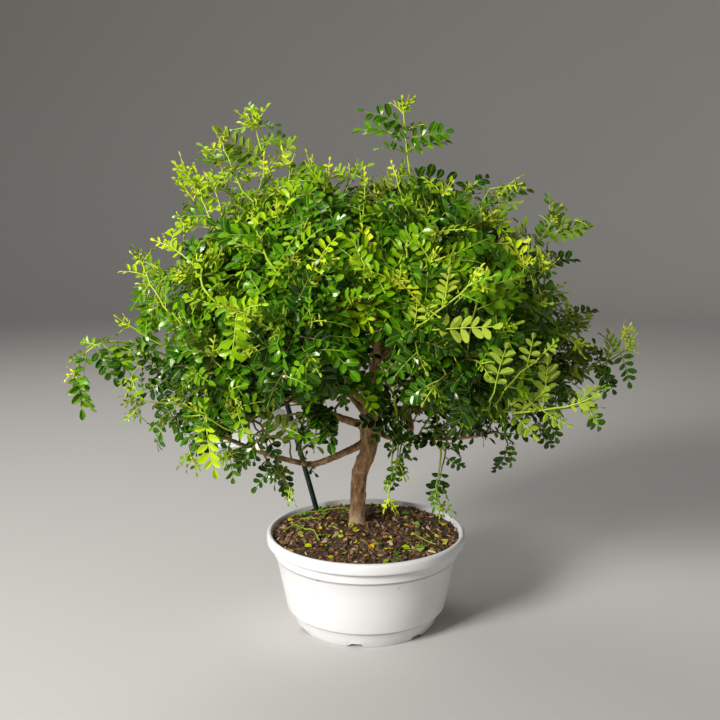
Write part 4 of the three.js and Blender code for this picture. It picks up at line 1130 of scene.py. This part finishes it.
def isClear(spot):                     # the gaps through which trunk, label and stake are seen
    across, down = seenAt(spot)
    return spot.z > 100 and any(x0 < across < x1 and y0 < down < y1 and spot.y < depth
                                for x0, y0, x1, y1, depth in clearings)


def growLeaf(growth, origin, direction, facing, length, age, draw, curl=1.0, sure=False):
    sizes = leafSizes
    direction = direction.normalized()
    facing = facing - direction * facing.dot(direction)
    facing = facing.normalized() if facing.length > 0.05 else direction.orthogonal().normalized()
    pairs = 2 + sum(length > most for most in sizes["pairLengths"])
    endLeaflet = min(sizes["longestLeaflet"], length * sizes["endLeaflet"][pairs])
    arch = sizes["arch"] * draw.uniform(0.4, 1.7) * curl
    swing = draw.uniform(-0.3, 0.3)
    tint = draw.random()
    across = facing.cross(direction)
    rachis = length - endLeaflet * 0.85
    shares = [0, sizes["petiole"]] + [mix(sizes["petiole"], 1, n / pairs) for n in range(1, pairs + 1)]
    thick, middle, thin = sizes["stalk"]
    spot = origin.copy()
    path, stations = [(spot, thick)], []
    for before, share in zip(shares, shares[1:]):
        half = (before + share) / 2
        tangent = (direction - facing * 2 * arch * half + across * swing * half).normalized()
        spot = spot + tangent * rachis * (share - before)
        path.append((spot, mix(middle, thin, share)))
        stations.append((spot, tangent))
    if not inReach(spot, sizes["room"] + endLeaflet * 0.85):
        return
    if not sure and any(isClear(station[0]) for station in stations):
        return
    fold = 0.12 + (0.2 + 0.4 * age) * draw.random()
    close = draw.uniform(0, 14)
    for n, (spot, tangent) in enumerate(stations):
        normal = (facing - tangent * facing.dot(tangent)).normalized()
        side = normal.cross(tangent).normalized()
        last = n == pairs
        grow = 0.84 if n == 0 else 1.0 if n < pairs - 1 else 0.86
        for sign in ((0,) if last else (-1, 1)):
            if not last and draw.random() < sizes["missing"]:
                continue
            size = endLeaflet * grow * draw.uniform(0.8, 1.12)
            spread = math.radians(mix(*sizes["spread"], n / pairs) - close + draw.uniform(-10, 10))
            along = tangent if last else (tangent * math.cos(spread) + side * sign * math.sin(spread)
                                          + normal * (fold + draw.uniform(-0.2, 0.2)))
            along = (along + side * draw.uniform(-0.08, 0.08)).normalized()
            blade = normal + side * (-sign * fold * 0.8 + draw.uniform(-0.28, 0.28))
            blade = blade + tangent * draw.uniform(-0.25, 0.35)
            wide = mix(*sizes["width"], age) * draw.uniform(0.9, 1.08)
            growth.leaflet(spot, along, blade, (size, size * wide, size), draw.randrange(3), age, tint)
    growth.line(path, age, tint)


def leafFacing(origin, draw):          # leaves look up and outwards
    loose = leafSizes["loose"]
    facing = up * 0.62 + outwards(origin) * 0.6 + Vector((0, -0.15, 0))
    return facing + Vector([draw.uniform(-loose, loose) for _ in range(3)])


def bendPath(base, via, end, count, draw, sway=1.2):  # a curved stem with a slight wave
    path = []
    wave = draw.uniform(0, 6.28)
    for n in range(count + 1):
        t = n / count
        spot = base * (1 - t) ** 2 + via * 2 * t * (1 - t) + end * t * t
        sag = math.sin(t * math.pi)
        spot = spot + Vector((math.sin(wave + 7 * t), math.cos(wave + 6 * t), math.sin(wave * 2 + 5 * t))) * sway * sag
        path.append(spot)
    return path


def pathSpot(path, share):             # the point and the direction at a share of a path
    place = limited(share, 0, 0.9999) * (len(path) - 1)
    n = int(place)
    return path[n].lerp(path[n + 1], place - n), (path[n + 1] - path[n]).normalized()


joints = []                            # every point of a stem that a leaf can sit on, with what it grows in


def sideOf(tangent, turn):             # a direction square to a stem, turned round it by an angle
    return Matrix.Rotation(turn, 3, tangent) @ tangent.orthogonal().normalized()


def growShoot(growth, path, youth, draw, leaves, lengths, start, girth, tuft):
    growth.line([(spot, mix(*girth, n / (len(path) - 1))) for n, spot in enumerate(path)],
                limited(youth + 0.1), draw.random())
    joints.extend((spot, growth) for spot in path)
    turn = draw.uniform(0, 360)
    for n in range(leaves):
        t = n / max(1, leaves - 1)
        share = mix(start, 0.97, t) + draw.uniform(-0.02, 0.02)
        spot, tangent = pathSpot(path, share)
        turn += crownSizes["goldenTurn"]
        direction = tangent * mix(0.35, 0.8, t) + sideOf(tangent, math.radians(turn)) + up * 0.12
        length = mix(lengths[1], lengths[0], t ** 1.5) * draw.uniform(0.82, 1.08)
        age = limited(youth + 0.4 * max(0.0, t - 0.55) / 0.45 + draw.gauss(0, 0.07))
        tip = spot + direction.normalized() * length
        if massShare(tip) > 1.02 and massShare(spot) < 1.0:  # a leaf that leaves the crown is turned back
            direction = direction - (spot - crownCentre).normalized() * 0.75
            length *= 0.85
            tip = spot + direction.normalized() * length
            if tip.z < crownCentre.z - 30 and massShare(tip) > 1.06:
                continue
        growLeaf(growth, spot, direction, leafFacing(spot, draw), length, age, draw)
    if tuft:                           # the small new leaves at the tip
        spot, tangent = pathSpot(path, 0.99)
        for n in range(3):
            side = sideOf(tangent, math.radians(turn + 120 * n))
            growLeaf(growth, spot, tangent + side * 0.6 + up * 0.1, side + up * 0.2, draw.uniform(13, 19),
                     limited(youth + 0.55), draw, 0.3)


def nearestJoint(seenJoints, across, down, y):  # the stem point seen nearest to a pixel
    def cost(joint):
        seenX, seenY = joint[2]
        return math.hypot(seenX - across, seenY - down) + abs(joint[0].y - y) * 0.12
    return min(seenJoints, key=cost)[:2]


def startingPlaces():                  # points along the limbs that a shoot can start from
    places = []
    for points, _ in limbs:
        points = [Vector(point) for point in points]
        for a, b in zip(points, points[1:]):
            steps = max(1, round((b - a).length / 7))
            places += [a.lerp(b, step / steps) for step in range(steps)]
        places.append(points[-1])
    return [place for place in places if place.z > crownSizes["lowest"]]


def takeNearest(places, wanted):       # each place is used once
    nearest = min(places, key=lambda place: (place - wanted).length)
    places.remove(nearest)
    return nearest


def shellDirection(index):             # directions spread evenly over the dome
    sizes = crownSizes
    cosine = 1 - ((index + 0.5) / sizes["shellShoots"]) * (1 - sizes["lowestCosine"])
    sine = math.sqrt(1 - cosine * cosine)
    angle = math.radians(sizes["shellTurn"] + index * sizes["goldenTurn"])
    return Vector((sine * math.cos(angle), sine * math.sin(angle), cosine))


def sectorOf(spot):                    # the part of the crown that a point is in
    away = spot - crownCentre
    return int(((math.degrees(math.atan2(away.y, away.x)) + 360) % 360) / (360 / crownSizes["sectors"]))


def youthAt(spot, draw):               # younger and brighter towards the top and the left
    sizes = youthSizes
    high = limited((spot.z - sizes["lowLevel"]) / sizes["levels"])
    left = limited((sizes["rightEdge"] - spot.x) / sizes["width"])
    young = sizes["least"] + sizes["byHeight"] * high + sizes["byWidth"] * left + draw.gauss(0, sizes["uneven"])
    return limited(young, 0.0, 0.9)


def growDense(growths, places, centre, draw):  # a stem, then side shoots all round its middle
    reach = centre - crownCentre
    base = takeNearest(places, crownCentre + reach * 0.6)
    outward = reach.normalized()
    growth = growths[sectorOf(centre)]
    via = base.lerp(centre, 0.6) + up * 7
    youth = youthAt(centre, draw)
    growShoot(growth, bendPath(base, via, centre + outward * 16, 8, draw, 2), youth * 0.6, draw, *shootKinds["dense"])
    side = outward.orthogonal().normalized()
    other = outward.cross(side)
    for n in range(crownSizes["sideShoots"]):
        cosine = mix(0.95, -0.35, (n + 0.5) / crownSizes["sideShoots"])
        sine = math.sqrt(1 - cosine * cosine)
        angle = math.radians(n * crownSizes["goldenTurn"] + 50 * draw.random())
        direction = outward * cosine + (side * math.cos(angle) + other * math.sin(angle)) * sine + up * 0.42
        direction.normalize()
        start = centre - outward * draw.uniform(-4, 24)
        length = draw.uniform(*crownSizes["sideLength"])
        tip = start + direction * length
        while massShare(tip) > 0.93 and length > 16:
            length *= 0.88
            tip = start + direction * length
        bend = start.lerp(tip, 0.5) + up * draw.uniform(2, 9)
        growShoot(growth, bendPath(start, bend, tip, 6, draw), youthAt(tip, draw), draw, *shootKinds["side"])


def growOuter(growths, base, via, end, leaves, draw):  # a shoot that gives the crown its outline
    growth = growths[sectorOf(end)]
    youth = youthAt(end, draw)
    path = bendPath(base, via, end, 10, draw, 0.8)
    for share, x, y, z, length in leaves:
        facing = Vector((draw.uniform(-0.6, 0.6), -0.7, draw.uniform(0.2, 0.8)))
        growLeaf(growth, pathSpot(path, share)[0], Vector((x, y, z)), facing, length, limited(youth + 0.1), draw, 1.0,
                 True)
    growShoot(growth, path, youth, draw, *shootKinds["outer"])


def growInner(growths, limb, draw):    # short shoots along a limb fill the inside of the crown
    for n in range(crownSizes["innerShoots"]):
        spot, tangent = pathSpot(limb, mix(0.36, 1.0, n / (crownSizes["innerShoots"] - 1)))
        side = sideOf(tangent, draw.uniform(0, 6.28))
        end = spot + (side + tangent * 0.6 + up * 0.35).normalized() * draw.uniform(22, 44)
        if massShare(end) < 0.95 and end.z > crownSizes["lowest"]:
            growShoot(growths[sectorOf(end)], bendPath(spot, spot.lerp(end, 0.5) + up * 5, end, 4, draw),
                      0.15 * draw.random(), draw, *shootKinds["inner"])


def growSeen(growths, route, count, lengths, youth, bare, draw):  # a shoot that stands out in the picture
    path = [fromPicture(*point) for point in route]
    base = min(startingPlaces(), key=lambda place: (place - path[0]).length)
    if (base - path[0]).length > 12:
        path.insert(0, base)
    path = [spot + Vector([draw.uniform(-0.9, 0.9) for _ in range(3)]) for spot, _ in smoothPath(path, [1, 1], 8)]
    growShoot(growths[sectorOf(path[-1])], path, youth, draw, count, lengths, 0.25, (1.2, 0.6), not bare)


def growCrown():
    draw = random.Random(crownSizes["seed"])
    growths = [Growth() for _ in range(crownSizes["sectors"])]
    places = startingPlaces()
    outerBases = [takeNearest(places, Vector(shoot[0])) for shoot in outerShoots]
    centres = [Vector(spot) for spot in lowerShoots]
    for index in range(crownSizes["shellShoots"]):
        reach = shellDirection(index)
        centres.append(crownCentre + Vector([reach[axis] * crownSizes["shell"][axis] for axis in range(3)]))
    for centre in centres:
        growDense(growths, places, centre, draw)
    for (_, via, end, leaves), base in zip(outerShoots, outerBases):
        growOuter(growths, base, Vector(via), Vector(end), leaves, draw)
    for points, _ in limbs[1:]:
        growInner(growths, [Vector(point) for point in points], draw)
    for shoot in pictureShoots:
        growSeen(growths, *shoot, draw)
    seenJoints = [(spot, growth, seenAt(spot)) for spot, growth in joints]
    for x0, y0, x1, y1, y, age, turned in pictureLeaves:
        spot, growth = nearestJoint(seenJoints, x0, y0, y)
        end = fromPicture(x1, y1, spot.y - 8)
        loose = 0.2 if turned else 0.55
        facing = Vector((draw.uniform(-loose, loose), -0.8, draw.uniform(0.2, 0.8))) * (-1 if turned else 1)
        length = min(leafSizes["longestLeaf"], (end - spot).length)
        growLeaf(growth, spot, end - spot, facing, length, age, draw, 0.6, True)
    return growths


def leafletShapes():                   # three leaflets, each 1 unit long, closed, with a fold along the middle
    shapes = bpy.data.collections.new("leaflet_shapes")
    for number, (fold, curl, lean) in enumerate([(0.22, 0.10, 0.0), (0.34, 0.20, 0.03), (0.12, 0.26, -0.03)]):
        points, across = [Vector((0, 0, 0))], [0.5]
        for along, half in [(0.27, 0.37), (0.66, 0.5)]:
            dip = -curl * along * along
            points += [Vector((along, half, dip + fold * half)), Vector((along, lean, dip + 0.02)),
                       Vector((along, -half, dip + fold * half)), Vector((along, lean, dip - 0.02))]
            across += [1, 0.5, 0, 0.5]
        along, half = 0.93, 0.28
        dip = -curl * along * along
        points += [Vector((along, half, dip + fold * half)), Vector((along, -half, dip + fold * half)),
                   Vector((1, 0, -curl + 0.01))]
        across += [0.8, 0.2, 0.5]
        # 0 base, 1-4 and 5-8 left, top, right, bottom, 9 and 10 shoulders, 11 tip
        top = [(0, 2, 1), (0, 3, 2), (2, 6, 5, 1), (3, 7, 6, 2), (6, 9, 5), (6, 11, 9), (7, 10, 6), (6, 10, 11)]
        bottom = [tuple({2: 4, 6: 8}.get(n, n) for n in reversed(face)) for face in top]
        mesh = meshOf("leaflet%d" % number, points, top + bottom)
        mesh.shade_smooth()
        withNumbers(mesh, "under", [0.0] * len(top) + [1.0] * len(bottom), domain="FACE")
        layer = mesh.uv_layers.new(name="leafletMap")
        for corner in mesh.loops:
            layer.data[corner.index].uv = (points[corner.vertex_index].x, across[corner.vertex_index])
        rim = {0, 1, 3, 5, 7, 9, 10, 11}
        spine = {0, 2, 4, 6, 8, 11}
        ends = [set(edge.vertices) for edge in mesh.edges]
        withNumbers(mesh, "sharp_edge", [pair <= rim or pair <= spine for pair in ends], "BOOLEAN", "EDGE")
        shapes.objects.link(bpy.data.objects.new("leaflet%d" % number, mesh))
    return shapes


def foliageTree():                     # leaflets set on points, and stems swept along lines
    tree, graph, ends = newTree("grow_foliage", {
        "Leaflets": "Collection", "Stem sides": "Int", "Leaf material": "Material", "Stem material": "Material"})
    isLeaflet = graph.stored("isLeaflet", "BOOLEAN")
    parts = graph.add("GeometryNodeSeparateGeometry", {"domain": "POINT"},
                      {"Geometry": ends["Geometry"], "Selection": isLeaflet})
    lines = Pin(graph, parts.socket.node.outputs["Inverted"])
    points = graph.add("GeometryNodeMeshToPoints", None, {"Mesh": parts, "Radius": 0.001})
    spin = graph.add("FunctionNodeEulerToRotation", None, {0: graph.stored("spin", "FLOAT_VECTOR")})
    copies = graph.copies(points, ends["Leaflets"], graph.stored("shape", "INT"), spin,
                          graph.stored("size", "FLOAT_VECTOR"))
    tube = graph.add("GeometryNodeSetShadeSmooth", None, {"Geometry": graph.swept(lines, ends["Stem sides"])})
    join = graph.add("GeometryNodeJoinGeometry", None, {"Geometry": copies})
    graph.tree.links.new(tube.socket, join.socket.node.inputs[0])
    endTree(graph, join, {"Material": ends["Stem material"]},
            {"Selection": isLeaflet, "Material": ends["Leaf material"]})
    return tree


foliageTones = {
    "green": [(0.0, 6, 37, 4), (0.2, 24, 72, 3), (0.42, 68, 124, 1), (0.65, 118, 162, 2), (0.85, 164, 194, 8),
              (1.0, 208, 219, 32)],
    "fallen": [(0.0, 40, 120, 10), (0.3, 110, 170, 10), (0.55, 190, 200, 10), (0.72, 236, 210, 8),
               (0.86, 210, 120, 20), (1.0, 120, 70, 36)],
    "underside": [(0.0, 76, 110, 28), (0.5, 142, 164, 50), (1.0, 200, 208, 66)],
    "stem": [(0.0, 98, 84, 44), (0.2, 124, 140, 40), (0.5, 158, 190, 36), (1.0, 206, 222, 58)],
    "mottle": (90, 148, 4),
    "midrib": (158, 188, 30),
    "veins": (120, 168, 14),
    "paleVeins": (96, 120, 34),
    "paleMidrib": (196, 206, 116),
    "corky": (122, 112, 58),
}


def leafMaterial(name, tones):
    made, graph = newMaterial(name)
    age, tint, under = graph.named("age"), graph.named("tint"), graph.named("under")
    chart = graph.add("ShaderNodeUVMap", {"uv_map": "leafletMap"})
    along, across = graph.axis(chart, 0), graph.axis(chart, 1)
    side = graph.add("ShaderNodeMath", {"operation": "ABSOLUTE"}, {0: across - 0.5}) * 2
    midrib = 1 - graph.smooth(side, 0.03, 0.13)
    slant = graph.add("ShaderNodeMath", {"operation": "FRACT"}, {0: along * 6.5 - side * 1.7 + 4})
    veins = (1 - graph.smooth(slant, 0.05, 0.24)) * (1 - graph.smooth(side, 0.7, 0.95))
    spot = graph.place()
    mottle = graph.noise(spot, 320, 3)
    wide = graph.noise(spot, 34, 2)
    colour = graph.ramp(graph.clamp(age + (tint - 0.5) * 0.22 + (wide - 0.5) * 0.25), tones)
    colour = graph.stain(colour, graph.smooth(mottle, 0.5, 0.75) * 0.2, foliageTones["mottle"])
    colour = graph.stain(colour, midrib * (0.30 + 0.3 * age), foliageTones["midrib"])
    colour = graph.stain(colour, veins * 0.12, foliageTones["veins"])
    pale = graph.ramp(age, foliageTones["underside"])
    pale = graph.stain(pale, veins * 0.45 + graph.smooth(mottle, 0.45, 0.7) * 0.25, foliageTones["paleVeins"])
    pale = graph.stain(pale, midrib * 0.6, foliageTones["paleMidrib"])
    graph.surface(Base_Color=graph.blend(under * 0.88, colour, pale),
                  Roughness=graph.clamp(0.16 + age * 0.18 + mottle * 0.12 + under * 0.38),
                  Specular_IOR_Level=0.28, Specular_Tint=(0.8, 1.0, 0.42, 1.0), Subsurface_Weight=0.08,
                  Subsurface_Radius=(0.9, 1.0, 0.2), Subsurface_Scale=0.0006,
                  Coat_Weight=(1 - under) * (1 - age) * 0.36, Coat_Roughness=0.14,
                  Normal=graph.bump(midrib * 1.2 + veins + mottle * 0.5, 0.00025, 0.6))
    return made


def stemMaterial():
    made, graph = newMaterial("stem_green")
    grain = graph.noise(graph.place(), 620, 3)
    level = graph.clamp(graph.named("age") + (graph.named("tint") - 0.5) * 0.2)
    colour = graph.ramp(level, foliageTones["stem"])
    colour = graph.stain(colour, graph.smooth(grain, 0.45, 0.75) * 0.35, foliageTones["corky"])
    graph.surface(Base_Color=colour, Roughness=0.48, Specular_IOR_Level=0.45, Normal=graph.bump(grain, 0.0002, 0.5))
    return made


def growthMesh(name, growth):
    mesh = meshOf(name, growth.spots, [], growth.edges)
    kinds = {"isLeaflet": "BOOLEAN", "spin": "FLOAT_VECTOR", "size": "FLOAT_VECTOR", "shape": "INT"}
    for key, values in growth.rows.items():
        withNumbers(mesh, key, values, kinds.get(key, "FLOAT"))
    return mesh


litterSizes = {
    "strewn": 95,
    "length": (4.5, 8.5),
    "reach": 79,                       # from the middle
    "colours": (0.3, 0.55, 0.6, 0.66, 0.7, 0.74, 0.9, 0.97),
    "soilTop": 84,
    "lift": 1.3,
    "seed": 23,
}
# fallen leaflets seen in the picture: pixel across, pixel down, and colour from green to brown
fallenLeaflets = [
    (330, 526, 0.7), (335, 526, 0.72), (322, 530, 0.66), (312, 546, 0.55), (346, 551, 0.72), (327, 555, 0.6),
    (281, 543, 0.74), (285, 537, 0.1), (379, 542, 0.2), (376, 555, 0.5), (363, 555, 0.88), (351, 530, 0.84),
    (356, 531, 0.86), (365, 536, 0.7), (375, 507, 0.66), (401, 514, 0.25), (447, 522, 0.3), (391, 526, 0.92),
    (353, 543, 0.8), (294, 549, 0.7), (344, 537, 0.9), (392, 556, 0.1), (397, 560, 0.2), (402, 557, 0.1),
    (399, 553, 0.3), (395, 554, 0.05), (389, 559, 0.2), (410, 547, 0.3), (416, 548, 0.35), (337, 560, 0.93),
    (370, 545, 0.78), (304, 536, 0.85), (430, 548, 0.62), (318, 556, 0.9), (386, 548, 0.7), (440, 536, 0.8),
]
fallenTwigs = [                        # routes over the soil in the picture, leaves, and half the thickness
    ([(288, 518), (300, 514), (320, 511), (348, 509)], 3, 0.7),
    ([(292, 524), (306, 519), (318, 520), (330, 514)], 2, 0.6),
    ([(284, 531), (296, 526), (306, 530), (314, 532), (319, 541)], 2, 0.7),
    ([(404, 549), (412, 549), (420, 546)], 1, 0.5), ([(412, 534), (424, 541), (436, 544)], 0, 0.4),
]


def onSoil(across, down):              # the place on the mulch behind a pixel
    near, far = fromPicture(across, down, 0), fromPicture(across, down, 100)
    spot = near + (far - near) * ((litterSizes["soilTop"] - near.z) / (far.z - near.z))
    return lying(spot.x, spot.y)


def lying(x, y):
    return Vector((x, y, soilLevel(x, y) + litterSizes["lift"]))


def growLitter():                      # loose leaflets and two green twigs lying on the mulch
    draw = random.Random(litterSizes["seed"])
    growth = Growth()
    loose = [(onSoil(across, down), colour, 1.0) for across, down, colour in fallenLeaflets]
    for n in range(litterSizes["strewn"]):
        radius, angle = litterSizes["reach"] * math.sqrt(draw.random()), draw.uniform(0, 2 * math.pi)
        loose.append((lying(radius * math.cos(angle), radius * math.sin(angle)),
                      draw.choice(litterSizes["colours"]) + draw.uniform(-0.04, 0.04), 0.8))
    for spot, colour, size in loose:
        yaw = draw.uniform(0, 2 * math.pi)
        along = Vector((math.cos(yaw), math.sin(yaw), draw.uniform(-0.15, 0.3)))
        normal = Vector((draw.uniform(-0.45, 0.45), draw.uniform(-0.6, 0.3), 1 if draw.random() < 0.7 else -1))
        length = draw.uniform(*litterSizes["length"]) * size
        growth.leaflet(spot, along.normalized(), normal, (length, length * 0.68, length), draw.randrange(3), colour,
                       draw.random())
    for route, leaves, girth in fallenTwigs:
        path = [spot for spot, _ in smoothPath([onSoil(*pixel) for pixel in route], [1, 1], 5)]
        path = [spot + up * draw.uniform(0.4, 1.8) for spot in path]
        growth.line([(spot, girth) for spot in path], 0.5, 0.4)
        for n in range(leaves):
            spot, tangent = pathSpot(path, (n + 0.6) / leaves)
            side = tangent.cross(up) * (-1) ** n
            growLeaf(growth, spot, tangent + side + up * 0.25, up + side * 0.3, draw.uniform(11, 15), 0.3, draw, 0.3,
                     True)
    return growth


def makeFoliage():
    shapes, tree = leafletShapes(), foliageTree()
    green = leafMaterial("leaf_green", foliageTones["green"])
    fallen = leafMaterial("leaf_fallen", foliageTones["fallen"])
    stem = stemMaterial()

    def grow(name, growth, leaf):
        lines = shown(name + "_lines", growthMesh(name + "_lines", growth))
        return grown(lines, tree, {"Leaflets": shapes, "Stem sides": crownSizes["stemSides"],
                                   "Leaf material": leaf, "Stem material": stem}, name)
    ready(grow("fallen_leaflets_and_twigs", growLitter(), fallen), "leaf")
    growths = growCrown()
    holders = [[] for _ in growths]    # the solid shoots that each part of the crown stands for
    for node in sorted(frame["nodes"]):
        if node.startswith("leafy_shoot"):
            low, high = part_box(node)
            holders[sectorOf((low + high) / 2 / mm)].append(node)
    spare = []
    for number, (growth, nodes) in enumerate(zip(growths, holders)):
        if growth.spots:
            ready(grow("leafy_shoots_%02d" % (number + 1), growth, green), "leaf", *nodes, *spare)
            spare = []
        else:
            spare += nodes
    discard(shapes)


makeFoliage()
print("foliage is done")
